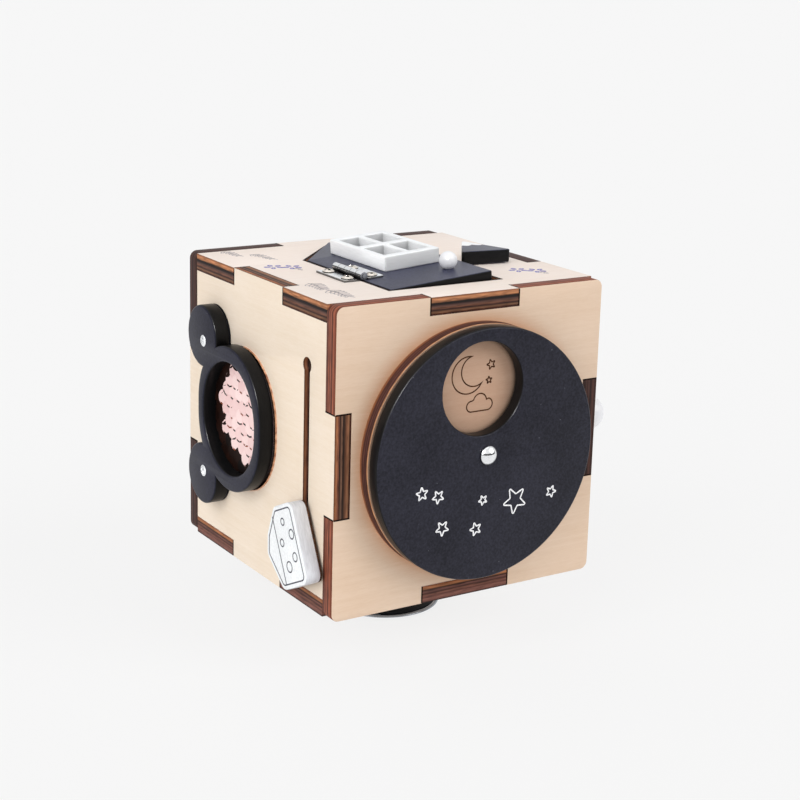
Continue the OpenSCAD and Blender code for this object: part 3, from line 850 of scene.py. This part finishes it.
def star(radius, turn=0.0):
    """Five points on two circles, with softened tips."""
    angle = np.radians(90 + 36 * np.arange(10)) + turn
    reach = np.where(np.arange(10) % 2 == 0, radius, 0.42 * radius)[:, None]
    corners = reach * np.stack([np.cos(angle), np.sin(angle)], 1)
    return [(rounded_loop(corners, 0.07 * radius, 4), True)]


def sun(radius):
    """A circle with twelve rays."""
    strokes = [(circle((0, 0), 0.55 * radius, 48), True)]
    for angle in np.radians(np.arange(0, 360, 30)):
        way = np.array([math.cos(angle), math.sin(angle)]) * radius
        strokes.append((np.linspace(0.72, 1, 6)[:, None] * way, False))
    return strokes


def flower(radius):
    """Six petals, whose edge is a circle that swells and shrinks six times, round a small ring."""
    angle = np.linspace(0, 2 * math.pi, 120, endpoint=False)
    edge = radius * (0.76 + 0.24 * np.cos(6 * angle))
    outline = edge[:, None] * np.stack([np.cos(angle), np.sin(angle)], 1)
    return [(outline, True), (circle((0, 0), 0.26 * radius, 32), True)]


def sailboat(size):
    """A hull and two sails with softened corners."""
    hull = rounded_loop(np.array([[-1, -0.45], [-0.62, -0.85], [0.62, -0.85], [1, -0.45]]) * size, 0.1 * size)
    main = rounded_loop(np.array([[0.1, -0.25], [0.85, -0.25], [0.1, 0.95]]) * size, 0.05 * size)
    jib = rounded_loop(np.array([[-0.12, -0.25], [-0.12, 0.7], [-0.7, -0.25]]) * size, 0.05 * size)
    return [(hull, True), (main, True), (jib[::-1], True)]


def petals(radius, turn):
    """Five narrow ovals round an open middle."""
    petal = (circle((0, 0), 1, 20) * np.array([0.28, 0.16]) + np.array([0.68, 0])) * radius
    return [(turned_by(petal, angle + turn), True) for angle in np.radians(np.arange(0, 360, 72))]


def fern(length, width, pairs):
    """A stem on one wave of a sine, with pairs of oval leaflets that shrink towards its tip."""
    t = np.linspace(0, 1, 24)
    stem = np.stack([length * (t - 0.5), 0.05 * length * np.sin(2 * math.pi * t)], 1)
    strokes = [(stem, False)]
    for k in range(pairs):
        reach = width / 2 * (1 - 0.5 * k / pairs)
        leaflet = (circle((0, 0), 1, 20) * np.array([0.5, 0.2]) + np.array([0.5, 0])) * reach
        foot = stem[2 + 20 * k // pairs]
        strokes += [(turned_by(leaflet, side * math.radians(58)) + foot, True) for side in (-1, 1)]
    return strokes


def moved(strokes, at, turn=0.0):
    """Strokes turned and then moved."""
    return [(turned_by(points, turn) + np.asarray(at), closed) for points, closed in strokes]


def drawing(strokes, sizes, bold=1.0):
    """Strokes in millimetres as raised lines in metres, bold times as wide as the set width."""
    width = bold * sizes.line_width
    return joined([ribbon(points * MM, width, sizes.line_rise, closed) for points, closed in strokes])


# Settings that a user may change

def length_setting(name, description, default_mm):
    """A length in metres, with its default in millimetres."""
    return bpy.props.FloatProperty(name=name, description=description, default=default_mm * MM, unit="LENGTH")


class CubeSizes(bpy.types.PropertyGroup):
    """Sizes of the finish, in metres."""
    cut_edge: length_setting("Cut edge", "Rounding of the sanded edges of bare plywood", 0.22)
    paint_edge: length_setting("Paint edge", "Rounding of painted edges", 0.7)
    line_width: length_setting("Line width", "Width of burnt and printed lines", 0.48)
    line_rise: length_setting("Line rise", "Height of a line above its board", 0.03)
    sequin: length_setting("Sequin", "Diameter of one sequin", 5.4)
    sequin_step: length_setting("Sequin step", "Distance between sequins along a row", 4.7)
    sequin_row: length_setting("Sequin row", "Distance between rows of sequins", 3.45)


class CubeColours(bpy.types.PropertyGroup):
    """Colours of the stage."""
    floor: bpy.props.FloatVectorProperty(
        name="Floor", description="Colour of the floor and backdrop", subtype="COLOR", size=4,
        min=0, max=1, default=linear("F7F7F7"))


# Operators

class CUBE_OT_box_panels(bpy.types.Operator):
    """Makes the six finger-jointed plywood panels."""
    bl_idname = "activity_cube.box_panels"
    bl_label = "Box panels"

    def execute(self, context):
        sizes = context.scene.cube_sizes
        third = CUBE / 3
        corner_board = finger_outline(HALF, HALF, -PLY, -PLY, third, CORNER_R)
        side_board = finger_outline(INNER, INNER, PLY, PLY, third - 2 * FINGER_GAP)
        lid_board = finger_outline(HALF, INNER, -PLY, PLY, third)
        keyhole = keyhole_outline(SLIDER_TRAVEL) + np.array(WEDGE_AT)
        level_slot = turned_by(stadium((0, 0), SLOT_W / 2, BALL_TRAVEL / 2, 17), math.pi / 2)
        opening = house_outline(*OPENING_GAPS)
        spindle = circle((0, 0), SPINDLE_BORE_R, 48)
        # Each face's outline, holes, wood name, thickness axis, tones, plies and painted shade in hollows
        boards = {
            "front": (corner_board, [], "front", 1, WARM_WOOD, FRONT_PLIES, FRONT_PAINTED_SHADE),
            "back": (corner_board, [], "back", 1, WARM_WOOD, DARK_PLIES, None),
            "left": (side_board, [keyhole], "side", 0, PALE_WOOD, SIDE_PLIES, None),
            "right": (side_board, [level_slot], "right", 0, PALE_WOOD, DARK_PLIES, None),
            "top": (lid_board, [opening], "top", 2, LID_WOOD, TOP_PLIES, None),
            "bottom": (lid_board, [spindle], "bottom", 2, LID_WOOD, BOTTOM_PLIES, None),
        }
        woods = {}
        for face, (outline, holes, name, axis, *finish) in boards.items():
            woods[face] = basswood_plywood(f"basswood_{name}", axis, HALF, PLY, *finish)
            board = plate(outline, PLY, sizes.cut_edge, holes, 2)
            shape = placed(board, face, out=-PLY)
            make_piece(f"ply_{face}", shape, woods[face], "box", [f"{face}_panel"])
        dress_nodes(woods["top"], "door_stop")

        across = np.linspace(INNER, HALF - sizes.cut_edge, 4) / MM
        finger_end = np.stack([np.full(4, third / 2 / MM), across], 1)
        strokes = [(turned_by(finger_end * np.array([side, 1]), turn), False)
                   for turn in np.radians([0, 90, 180, 270]) for side in (-1, 1)]
        burns = [placed(drawing(strokes, sizes, 1.2), face) for face in boards]
        scorch = [(inset(opening, -sizes.line_width) / MM, True)]
        burns.append(placed(drawing(scorch, sizes, 2), "top"))
        ink = drawn_ink("kerf_burn", "0E0502", "261208", 0.8)
        make_piece("kerf_lines", joined(burns), ink, "box")
        return {"FINISHED"}


class CUBE_OT_top_prints(bpy.types.Operator):
    """Prints faint violet flowers and grey ferns on the top panel."""
    bl_idname = "activity_cube.top_prints"
    bl_label = "Top prints"

    def execute(self, context):
        flowers = [(-37.6, 12.4), (-32.2, 9.6), (33.5, -26), (38.6, -29.4)]
        violet_lines = [line for at in flowers for line in moved(petals(3.2, math.radians(24)), at)]
        # Each fern's middle, length, width and turn in degrees
        ferns = [((-39.8, 38), 11, 5, -73), ((-32.5, 29), 13, 5, -70), ((-40, -21.5), 12, 7, -86),
                 ((-39, -33.5), 13, 7, -78), ((-31.9, 5.4), 4, 2.6, -85), ((38.9, -33.6), 4, 2.6, -85)]
        grey_lines = [line for at, length, width, turn in ferns
                      for line in moved(fern(length, width, length // 2), at, math.radians(turn))]
        prints = (
            ("print_flowers", violet_lines, 1.45, drawn_ink("violet_print", "6460A2", "8D88BD", 0.6)),
            ("print_ferns", grey_lines, 0.85, drawn_ink("grey_print", "A0999B", "C4BBBB", 0.6)),
        )
        for name, lines, bold, ink in prints:
            shape = drawing(lines, context.scene.cube_sizes, bold)
            make_piece(name, placed(shape, "top"), ink, "box")
        return {"FINISHED"}


class CUBE_OT_picture_board(bpy.types.Operator):
    """Makes the bare round board behind the disc, with a burnt line picture at each quarter turn."""
    bl_idname = "activity_cube.picture_board"
    bl_label = "Picture board"

    def execute(self, context):
        sizes = context.scene.cube_sizes
        thickness = BOARD_HI.y - BOARD_LO.y
        wood = basswood_plywood("basswood_picture", 1, -BOARD_LO.y, thickness, PICTURE_WOOD, PICTURE_PLIES,
                                PICTURE_PAINTED_SHADE)
        bore = circle((0, 0), BOARD_BORE_R, 24)
        board = plate(circle((0, 0), DISC_R, 160), thickness, sizes.cut_edge, [bore], 2)
        make_piece("picture_board", placed(board, "front"), wood, "box", ["picture_disc"])
        night = (moved(crescent(6), (-2.4, 3.4), math.radians(25)) + moved(cloud(10), (2.2, -7))
                 + moved(star(1.8), (6.2, 6), 0.3) + moved(star(1.3), (5.6, 1), 0.1))
        x = np.linspace(-9, 9, 40)
        sea = np.stack([x, -7.4 + 0.7 * np.sin(x + 9)], 1)
        boat = moved(sailboat(7.5), (0, 1)) + [(sea, False)]
        blossom = flower(8.5) + moved(fern(7, 4, 3), (0, -12), math.pi / 2)
        lines = []
        for k, picture in enumerate([night, sun(9), boat, blossom]):
            lines += moved(picture, turned_by([0, WINDOW_OFF / MM], WINDOW_TURN + k * math.pi / 2))
        shape = placed(drawing(lines, sizes), "front", out=thickness)
        make_piece("picture_lines", shape, burnt_line(), "box")
        return {"FINISHED"}


class CUBE_OT_night_disc(bpy.types.Operator):
    """Makes the black disc with its round window and its white stars."""
    bl_idname = "activity_cube.night_disc"
    bl_label = "Night disc"

    def execute(self, context):
        sizes = context.scene.cube_sizes
        window = circle(turned_by([0, WINDOW_OFF], WINDOW_TURN), WINDOW_R, 128)
        bore = circle((0, 0), DISC_BORE_R, 24)
        disc = plate(circle((0, 0), DISC_R, 192), DISC_T, sizes.paint_edge, [window, bore])
        out = -HALF - DISC_HI.y
        make_piece("black_disc", placed(disc, "front", out=out), black_board(1), "turning_disc",
                   ["night_disc"])
        # Each star's place, radius and turn
        stars = [(-24.4, -9.05, 2.4, 0.1), (-18.4, -10.9, 2.4, 0.5), (-1.4, -14.6, 1.8, 0.45),
                 (11.1, -16.6, 5, 0.5), (25.4, -15.9, 2.2, -0.4), (-16.5, -21.5, 2.7, 0.6),
                 (-3.8, -23.8, 2.4, 0.3)]
        lines = [line for x, y, r, turn in stars for line in moved(star(r, turn), (x, y))]
        shape = placed(drawing(lines, sizes, 1.05), "front", out=out + DISC_T)
        ink = drawn_ink("white_print", "F4F4F4", "DADADE", 0.55)
        make_piece("disc_stars", shape, ink, "turning_disc")
        return {"FINISHED"}


class CUBE_OT_disc_rivet(bpy.types.Operator):
    """Makes the bright dome-headed rivet from its tail inside the box to its head."""
    bl_idname = "activity_cube.disc_rivet"
    bl_label = "Disc rivet"

    def execute(self, context):
        head_r = (RIVET_HI.x - RIVET_LO.x) / 2
        head = -HALF - DISC_LO.y + RIVET_GAP
        tail = -HALF - RIVET_HI.y
        tail_top = tail + RIVET_TAIL_H
        tail_edge = 0.2 * MM
        stem = [[0, tail], [RIVET_TAIL_R - tail_edge, tail], [RIVET_TAIL_R, tail + tail_edge],
                [RIVET_TAIL_R, tail_top], [RIVET_SHANK_R, tail_top], [RIVET_SHANK_R, head],
                [0.95 * head_r, head], [head_r, head + THIN_EDGE]]
        cap = dome(head_r, head + RIVET_RIM_H, -HALF - RIVET_LO.y, 20)
        shape = placed(lathe(np.concatenate([stem, cap]), 72), "front")
        make_piece("rivet", shape, bright_nickel(), "box", ["disc_rivet"])
        return {"FINISHED"}


class CUBE_OT_sequin_patch(bpy.types.Operator):
    """Makes the eared frame with its screws, the backing cloth and the overlapping sequins."""
    bl_idname = "activity_cube.sequin_patch"
    bl_label = "Sequin patch"

    def execute(self, context):
        sizes = context.scene.cube_sizes
        hole = stadium(OVAL, OVAL_HOLE_R, OVAL_HOLE_RISE)
        ring = plate(ear_frame_outline(), FRAME_T - CLOTH_T, sizes.paint_edge, [hole])
        head = screw(*FRAME_HEAD)
        parts, screws = [placed(ring, "left", out=CLOTH_T)], []
        for side in (-1, 1):
            mirror = np.array([1, side])
            pad = plate(circle(OVAL + EAR * mirror, EAR_PAD_R), CLOTH_T, THIN_EDGE, steps=2)
            parts.append(placed(pad, "left"))
            screws.append(placed(head, "left", OVAL + EAR_SCREW * mirror, FRAME_T, 0.3 + side))
        make_piece("ear_frame", joined(parts), black_board(0), "box", ["sequin_frame"])
        make_piece("frame_screw_pair", joined(screws), zinc_steel(), "box", ["frame_screws"])

        cloth = plate(stadium(CLOTH_AT, CLOTH_R, OVAL_RISE), CLOTH_T, CLOTH_EDGE, steps=2)
        backing = make_piece("sequin_backing", placed(cloth, "left"), mesh_backing(), "box",
                             ["sequin_cloth"])
        path = stadium(CLOTH_AT, CLOTH_R - HEM_IN, OVAL_RISE)
        right_half = np.roll(path, len(path) // 4, axis=0)[:len(path) // 2 + 1]
        hem = placed(ribbon(right_half, HEM_W, HEM_H, closed=False), "left")
        hem_piece = make_piece("sequin_hem", hem, copper_edge(), "box")
        sequins = self.sequins(sizes)
        return {"FINISHED"}

    def sequins(self, sizes):
        """All sequins as one piece, with a tone for each point."""
        random = np.random.default_rng(7)
        u, v = self.sequin_places(sizes, random)
        shape = self.sequin_discs(sizes, random, u, v)
        piece = make_piece("sequins", placed(shape, "left", OVAL), sequin_film(), "box")
        tone = self.sequin_tones(random, u, v, len(shape[0]) // len(u))
        attribute = piece.data.attributes.new("tone", "FLOAT", "POINT")
        attribute.data.foreach_set("value", tone.ravel().astype(np.float32))
        return piece

    def sequin_places(self, sizes, random):
        """Staggered rows inside an oval that is a little larger than the frame's hole, jogged at random."""
        reach_u = OVAL_HOLE_R + 1 * MM
        reach_v = OVAL_HOLE_R + OVAL_HOLE_RISE + 1 * MM
        rows = np.arange(-reach_v, reach_v, sizes.sequin_row)
        steps = np.arange(-reach_u, reach_u, sizes.sequin_step)
        v, u = (grid.ravel() for grid in np.meshgrid(rows, steps, indexing="ij"))
        odd = np.repeat(np.arange(len(rows)) % 2, len(steps))
        u = u + odd * sizes.sequin_step / 2 + random.normal(0, 0.3 * MM, len(u))
        v = v + random.normal(0, 0.25 * MM, len(v))
        inside = (u / reach_u) ** 2 + (v / reach_v) ** 2 < 1
        return u[inside], v[inside]

    def sequin_discs(self, sizes, random, u, v):
        """Thin dished discs: a rim, a lower ring and two poles. Each is a tilted plane plus its dish,
        so that it leans over its left neighbour and the row below it."""
        count, sides = len(u), SEQUIN_SIDES
        lean = random.normal(0.06, 0.015, count)[:, None]
        roll = random.normal(0.10, 0.02, count)[:, None]
        rim = circle((0, 0), sizes.sequin / 2, sides)
        disc = np.concatenate([
            np.column_stack([rim, np.full(sides, 0.10 * MM)]),
            np.column_stack([0.86 * rim, np.full(sides, 0.07 * MM)]),
            [[0, 0, 0], [0, 0, -0.08 * MM]],
        ])
        x, y, z = disc.T
        lift = CLOTH_T + 0.6 * MM + random.normal(0, 0.04 * MM, count)[:, None]
        height = np.maximum(z - y * np.tan(lean) - x * np.tan(roll) + lift, CLOTH_T + 0.05 * MM)
        points = np.stack([x + u[:, None], y + v[:, None], height], 2).reshape(-1, 3)
        here = np.arange(sides)
        ahead = (here + 1) % sides
        pole = np.full(sides, 2 * sides)
        blocks = [
            np.stack([here, ahead, ahead + sides, here + sides], 1),
            np.stack([pole, here + sides, ahead + sides], 1),
            np.stack([pole + 1, ahead, here], 1),
        ]
        start = np.arange(count)[:, None, None] * len(disc)
        return points, [((start + block).reshape(-1, block.shape[1]), True) for block in blocks]

    def sequin_tones(self, random, u, v, points_each):
        """A pink for each disc. Most rims carry an arc on their lower side: dark as painted shadow of the gap
        to the row below, and copper on a quarter of them where the back shows.
        Discs on the left, above one slanting line and under another show their dark backs; this dark area is
        also painted shade under the frame's wall."""
        count, sides = len(u), SEQUIN_SIDES
        tone = np.repeat(random.uniform(*TONE_PINK, count)[:, None], points_each, axis=1)
        angle = np.linspace(0, 2 * math.pi, sides, endpoint=False)
        # painted shadow: a dark arc on each rim's lower side, where the gap to the row below falls; on a
        # quarter it is copper
        lower_arc_at = random.uniform(*np.radians([250, 290]), count)[:, None]
        shadow_or_copper_arc = np.abs(angle - lower_arc_at) < math.radians(42)
        shadow_or_copper_arc &= (random.random(count) < 0.93)[:, None]
        bare = np.where(random.random(count) < 0.25, TONE_COPPER, TONE_DARK[0])[:, None]
        tone[:, :sides] = np.where(shadow_or_copper_arc, bare, tone[:, :sides])
        # dark discs: their dark backs, and also painted shade under the frame's wall
        ragged = random.normal(0, 0.8 * MM, count)
        on_left = u < -11.8 * MM + ragged
        below = v < -11.5 * MM - 0.43 * u + ragged
        above = v > 20.2 * MM + 0.96 * u + ragged
        dark_discs = on_left | below | above
        tone[dark_discs] = random.uniform(*TONE_DARK, (dark_discs.sum(), 1))
        tone[:, -1] = TONE_DARK[0]
        return tone


class CUBE_OT_cheese_wedge(bpy.types.Operator):
    """Makes the white wedge that slides in the keyhole slot, with its drawn lines."""
    bl_idname = "activity_cube.cheese_wedge"
    bl_label = "Cheese wedge"

    def execute(self, context):
        sizes = context.scene.cube_sizes
        outline = rounded_loop(CHEESE_CORNERS * MM, CHEESE_R)
        thickness = CHEESE_HI.x - CHEESE_LO.x
        out = -HALF - CHEESE_HI.x
        slab = plate(outline, thickness - CHEESE_BARE, 0.6 * sizes.paint_edge)
        back = plate(inset(outline, THIN_EDGE), CHEESE_BARE, THIN_EDGE, steps=2)
        split = np.linspace([-4.5, 11.2], [-5.4, -10.6], 12)
        holes = [(1.5, 8.3, 1.1), (5.5, 3.5, 1.5), (-1.9, 2.2, 1.2), (4.4, -3.6, 1.4), (-0.7, -5.8, 1.7)]
        strokes = [(inset(outline, CHEESE_BORDER) / MM, True), (split, False)]
        strokes += [(circle((x, y), r, 32), True) for x, y, r in holes]
        ink = drawn_ink("grey_line", "3B3B45", "666670", 0.6)
        pieces = (
            # the wedge's greyer edge tone is painted shade
            ("cheese", slab, CHEESE_BARE, white_board(0, "E3E5EA", 0.8), ["cheese_wedge"]),
            ("cheese_back", back, 0.0, burnt_line(), []),
            ("cheese_lines", drawing(strokes, sizes), thickness, ink, []),
        )
        for name, shape, height, material, nodes in pieces:
            shape = placed(shape, "left", WEDGE_AT, out + height, CHEESE_LEAN)
            make_piece(name, shape, material, "wedge", nodes)
        return {"FINISHED"}


class CUBE_OT_house_door(bpy.types.Operator):
    """Makes the house-shaped door with its lattice window, its ball knob and the screws of its hinge."""
    bl_idname = "activity_cube.house_door"
    bl_label = "House door"

    def execute(self, context):
        sizes = context.scene.cube_sizes
        leaf = plate(rounded_loop(house_outline(), DOOR_CORNER_R, 3), DOOR_T, 0.5 * sizes.paint_edge)
        pane = (LATTICE_SIZE - 3 * LATTICE_BAR) / 2
        box = np.array([[-1, -1], [1, -1], [1, 1], [-1, 1]]) / 2
        middles = [np.array([sx, sy]) * (pane + LATTICE_BAR) / 2 for sx in (-1, 1) for sy in (-1, 1)]
        panes = [rounded_loop(box * pane + middle, PANE_R, 3) for middle in middles]
        border = rounded_loop(box * LATTICE_SIZE, LATTICE_R, 4)
        lattice = plate(border, LATTICE_T, 0.7 * sizes.paint_edge, panes)
        height = DOOR_KNOB_R - DOOR_KNOB_SINK
        ball = arc((0, height), DOOR_KNOB_R, -math.asin(height / DOOR_KNOB_R), math.pi / 2, 26)
        ball = lathe(np.concatenate([[[0, 0]], ball]))
        white = "white_painted_wood"
        # the lattice's edge tone, brighter than its face, is painted light; its edges that face along Y get
        # painted shade
        white_paint = white_board(2, "FCFDFE", 0.93, 0.7)
        pieces = (
            ("door_board", leaf, (0, 0), -DOOR_T, black_board(2), "black_painted_wood", "door_leaf"),
            ("lattice", lattice, LATTICE_AT, 0.0, white_paint, white, "window_lattice"),
            ("door_ball", ball, DOOR_KNOB_AT, 0.0, turned_lacquer(), white, "door_knob"),
        )
        for name, shape, at, out, material, slot, node in pieces:
            make_piece(name, placed(shape, "door", at, out), material, "door", [node])
        head = screw(*HINGE_HEAD)
        leaves = ((-1, "top", "box", "hinge_panel_screws"), (1, "door", "door", "hinge_door_screws"))
        for side, face, body, node in leaves:
            pair = []
            for end in (-1, 1):
                at = (HINGE_X + side * HINGE_SCREW[0], HINGE_Y + end * HINGE_SCREW[1])
                pair.append(placed(head, face, at, HINGE_LEAF_T, 0.4 + 0.7 * end * side))
            make_piece(f"{node}_pair", joined(pair), brassed_steel(), body, [node])
        dress_nodes(hinge_steel(), "hinge_panel_leaf", "hinge_door_leaf", "hinge_pin")
        dress_nodes(zinc_steel(), "door_knob_screw")
        return {"FINISHED"}


class CUBE_OT_turn_button(bpy.types.Operator):
    """Makes the black mountain button with its white tip."""
    bl_idname = "activity_cube.turn_button"
    bl_label = "Turn button"

    def execute(self, context):
        sizes = context.scene.cube_sizes
        corners = np.array([[-BUTTON_W / 2, -BUTTON_FOOT], [BUTTON_W / 2, -BUTTON_FOOT], [0, BUTTON_REACH]])
        shape = plate(rounded_loop(corners, BUTTON_R), BUTTON_HI.z - BUTTON_LO.z, 0.5 * sizes.paint_edge)
        shape = placed(shape, "top", (BUTTON_X, BUTTON_Y), BUTTON_LO.z - Z_TOP, BUTTON_TURN)
        make_piece("mountain", shape, snow_capped_board(), "turn_button",
                   ["mountain_button"])
        dress_nodes(zinc_steel(), "button_washer", "button_screw")
        return {"FINISHED"}


class CUBE_OT_ball_slider(bpy.types.Operator):
    """Makes the turned ball that slides along the right face."""
    bl_idname = "activity_cube.ball_slider"
    bl_label = "Ball slider"

    def execute(self, context):
        ball_r = (KNOB_HI.z - KNOB_LO.z) / 2
        at = ((KNOB_LO.y + KNOB_HI.y) / 2, (KNOB_LO.z + KNOB_HI.z) / 2 - Z_MID)
        base = KNOB_LO.x - HALF
        top = base + KNOB_COLLAR_H
        inner_r = KNOB_COLLAR_R - BEVEL
        collar = [[0, base], [inner_r, base], [KNOB_COLLAR_R, base + BEVEL], [KNOB_COLLAR_R, top - BEVEL],
                  [inner_r, top], [KNOB_NECK_R, top]]
        centre = (0, KNOB_HI.x - HALF - ball_r)
        ball = arc(centre, ball_r, -math.acos(KNOB_NECK_R / ball_r), math.pi / 2, 30)
        shape = placed(lathe(np.concatenate([collar, ball])), "right", at)
        make_piece("side_ball", shape, turned_lacquer(), "ball_slider", ["side_knob"])
        dress_nodes(zinc_steel(), "side_knob_washer", "side_knob_screw")
        return {"FINISHED"}


class CUBE_OT_turning_foot(bpy.types.Operator):
    """Makes the foot's plate and rolled rim, and finishes the post, flange and pad."""
    bl_idname = "activity_cube.turning_foot"
    bl_label = "Turning foot"

    def execute(self, context):
        rim_r = (RIM_HI.x - RIM_LO.x) / 2
        plate_r = (PLATE_HI.x - PLATE_LO.x) / 2
        bore_r = plate_r + 0.02 * MM
        # The bead stays low so that the black plate shows above it; there the plate's near-black coat stands
        # in as painted shade under the cube.
        below, above = np.array([0.2, 0.36]) * (RIM_HI.z - RIM_LO.z)
        angle = np.linspace(-math.pi / 2, math.pi / 2, 25)
        rise = np.where(angle < 0, below, above) * np.sin(angle)
        bead = np.stack([bore_r + (rim_r - bore_r) * np.cos(angle), RIM_LO.z + below + rise], 1)
        flat = [[0, PLATE_LO.z], [plate_r, PLATE_LO.z], [plate_r, PLATE_HI.z - 0.2 * MM],
                [plate_r - BEVEL, PLATE_HI.z], [0, PLATE_HI.z]]
        ring = placed(lathe(bead, 128, closed=True), "table")
        make_piece("foot_ring", ring, grey_zinc(), "foot", ["foot_rim"])
        disc = placed(lathe(flat, 128), "table")
        make_piece("foot_plate", disc, powder_coat(), "foot", ["foot_disc"])
        dress_nodes(moulded_rubber(), "foot_pad")
        dress_nodes(powder_coat(), "foot_flange")
        dress_nodes(zinc_steel(), "foot_spindle", "foot_thrust_washer", "foot_screws", "foot_washer",
                    "foot_clip")
        return {"FINISHED"}


class CUBE_OT_small_hardware(bpy.types.Operator):
    """Finishes the washers and pins that keep their own shape."""
    bl_idname = "activity_cube.small_hardware"
    bl_label = "Small hardware"

    def execute(self, context):
        dress_nodes(zinc_steel(), "disc_spacer", "rivet_washer", "slider_washer", "slider_pin")
        return {"FINISHED"}


class CUBE_OT_studio_stage(bpy.types.Operator):
    """Makes the pale floor, the soft studio light and the camera."""
    bl_idname = "activity_cube.studio_stage"
    bl_label = "Studio stage"

    def execute(self, context):
        scene = context.scene
        scene.view_settings.view_transform = "Standard"
        self.floor(scene)
        self.world(scene)
        self.lamps(scene)
        self.camera(scene)
        return {"FINISHED"}

    def floor(self, scene):
        """A wide sheet of paper that glows, so that it stays near white and takes only a faint shadow."""
        size = 8.0
        corners = np.array([[-1, -1, 0], [1, -1, 0], [1, 1, 0], [-1, 1, 0]]) * size
        mesh = bpy.data.meshes.new("studio_floor")
        mesh.from_pydata(corners.tolist(), [], [(0, 1, 2, 3)])
        material, tree = new_material("studio_paper")
        paper = tuple(scene.cube_colours.floor)
        shaded(tree, {"Base Color": (0.12, 0.12, 0.12, 1), "Roughness": 0.9, "Specular IOR Level": 0.0,
                      "Emission Color": paper, "Emission Strength": 0.86})
        mesh.materials.append(material)
        floor = bpy.data.objects.new("studio_floor", mesh)
        scene.collection.objects.link(floor)

    def world(self, scene):
        """A plain backdrop. Shiny pieces reflect a light tent with a low dark strip at the front and left."""
        world = bpy.data.worlds.new("studio_world")
        scene.world = world
        world.use_nodes = True
        tree = world.node_tree
        tree.nodes.clear()
        path = add(tree, "ShaderNodeLightPath").outputs
        way = axes(tree, coordinates(tree, "Generated"))
        dim, bright = (0.1, 0.1, 0.1, 1), (1, 1, 1, 1)
        stops = [(0.0, dim), (0.24, dim), (0.32, bright)]
        band = add(tree, "ShaderNodeValToRGB", {0: way["Z"]}, stops).outputs[0]
        front = remap(tree, way["Y"], -0.2, -0.5)
        left = remap(tree, way["X"], -0.2, -0.4)
        tent = between(tree, maths(tree, "MAXIMUM", front, left), 0.95, band)
        lit = between(tree, path["Is Glossy Ray"], 0.6, tent)
        strength = between(tree, path["Is Camera Ray"], lit, 1.0)
        colour = tuple(scene.cube_colours.floor)
        sky = add(tree, "ShaderNodeBackground", {"Color": colour, "Strength": strength})
        add(tree, "ShaderNodeOutputWorld", {"Surface": sky.outputs[0]})

    def lamps(self, scene):
        """Three soft lamps, and one that only glints on shiny edges."""
        # Each lamp's name, the way towards it, strength, width in degrees and whether it lights matt surfaces
        suns = (
            ("left_softbox", (-0.8, -0.25, 0.5), 1.4, 50, True),
            ("top_softbox", (-0.1, 0.1, 1), 0.32, 60, True),
            ("front_softbox", (0.8, -1, 0.8), 1.1, 40, True),
            ("edge_lamp", (-0.6, -0.56, 0.56), 6.0, 10, False),
        )
        for name, towards, strength, width, lights_matt in suns:
            lamp = bpy.data.lights.new(name, "SUN")
            lamp.energy = strength
            lamp.angle = math.radians(width)
            obj = bpy.data.objects.new(name, lamp)
            obj.rotation_euler = Vector(towards).to_track_quat("Z", "Y").to_euler()
            obj.visible_diffuse = lights_matt
            scene.collection.objects.link(obj)

    def camera(self, scene):
        """A camera that looks along its heading and pitch, rolled about its view."""
        h, p, r = CAMERA_HEADING, CAMERA_PITCH, CAMERA_ROLL
        ahead = Vector((math.sin(h) * math.cos(p), math.cos(h) * math.cos(p), math.sin(p)))
        level = ahead.cross(Vector((0, 0, 1))).normalized()
        upright = level.cross(ahead)
        right = level * math.cos(r) + upright * math.sin(r)
        up = upright * math.cos(r) - level * math.sin(r)
        data = bpy.data.cameras.new("photo_camera")
        data.lens = CAMERA_LENS
        data.sensor_width = CAMERA_SENSOR
        data.shift_y = CAMERA_SHIFT_Y
        camera = bpy.data.objects.new("photo_camera", data)
        turn = Matrix((right, up, -ahead)).transposed().to_4x4()
        camera.matrix_world = Matrix.Translation(CAMERA_AT) @ turn
        scene.collection.objects.link(camera)
        scene.camera = camera


OPERATORS = (
    CUBE_OT_studio_stage, CUBE_OT_box_panels, CUBE_OT_top_prints, CUBE_OT_picture_board, CUBE_OT_night_disc,
    CUBE_OT_disc_rivet, CUBE_OT_sequin_patch, CUBE_OT_cheese_wedge, CUBE_OT_house_door, CUBE_OT_turn_button,
    CUBE_OT_ball_slider, CUBE_OT_turning_foot, CUBE_OT_small_hardware,
)


class CUBE_PT_looks(bpy.types.Panel):
    """Lists the sizes, the colours and the operators in the 3D view's sidebar."""
    bl_idname = "CUBE_PT_looks"
    bl_label = "Activity Cube"
    bl_space_type = "VIEW_3D"
    bl_region_type = "UI"
    bl_category = "Activity Cube"

    def draw(self, context):
        for settings in (context.scene.cube_sizes, context.scene.cube_colours):
            for name in settings.__annotations__:
                self.layout.prop(settings, name)
        for operator in OPERATORS:
            self.layout.operator(operator.bl_idname)


CLASSES = (CubeSizes, CubeColours, *OPERATORS, CUBE_PT_looks)


def register():
    for cls in CLASSES:
        bpy.utils.register_class(cls)
    bpy.types.Scene.cube_sizes = bpy.props.PointerProperty(type=CubeSizes)
    bpy.types.Scene.cube_colours = bpy.props.PointerProperty(type=CubeColours)


def unregister():
    del bpy.types.Scene.cube_colours
    del bpy.types.Scene.cube_sizes
    for cls in reversed(CLASSES):
        bpy.utils.unregister_class(cls)


def main():
    """Dresses the cube."""
    register()
    for operator in OPERATORS:
        group, name = operator.bl_idname.split(".")
        getattr(getattr(bpy.ops, group), name)()
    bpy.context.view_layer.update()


if __name__ == "__main__":
    main()
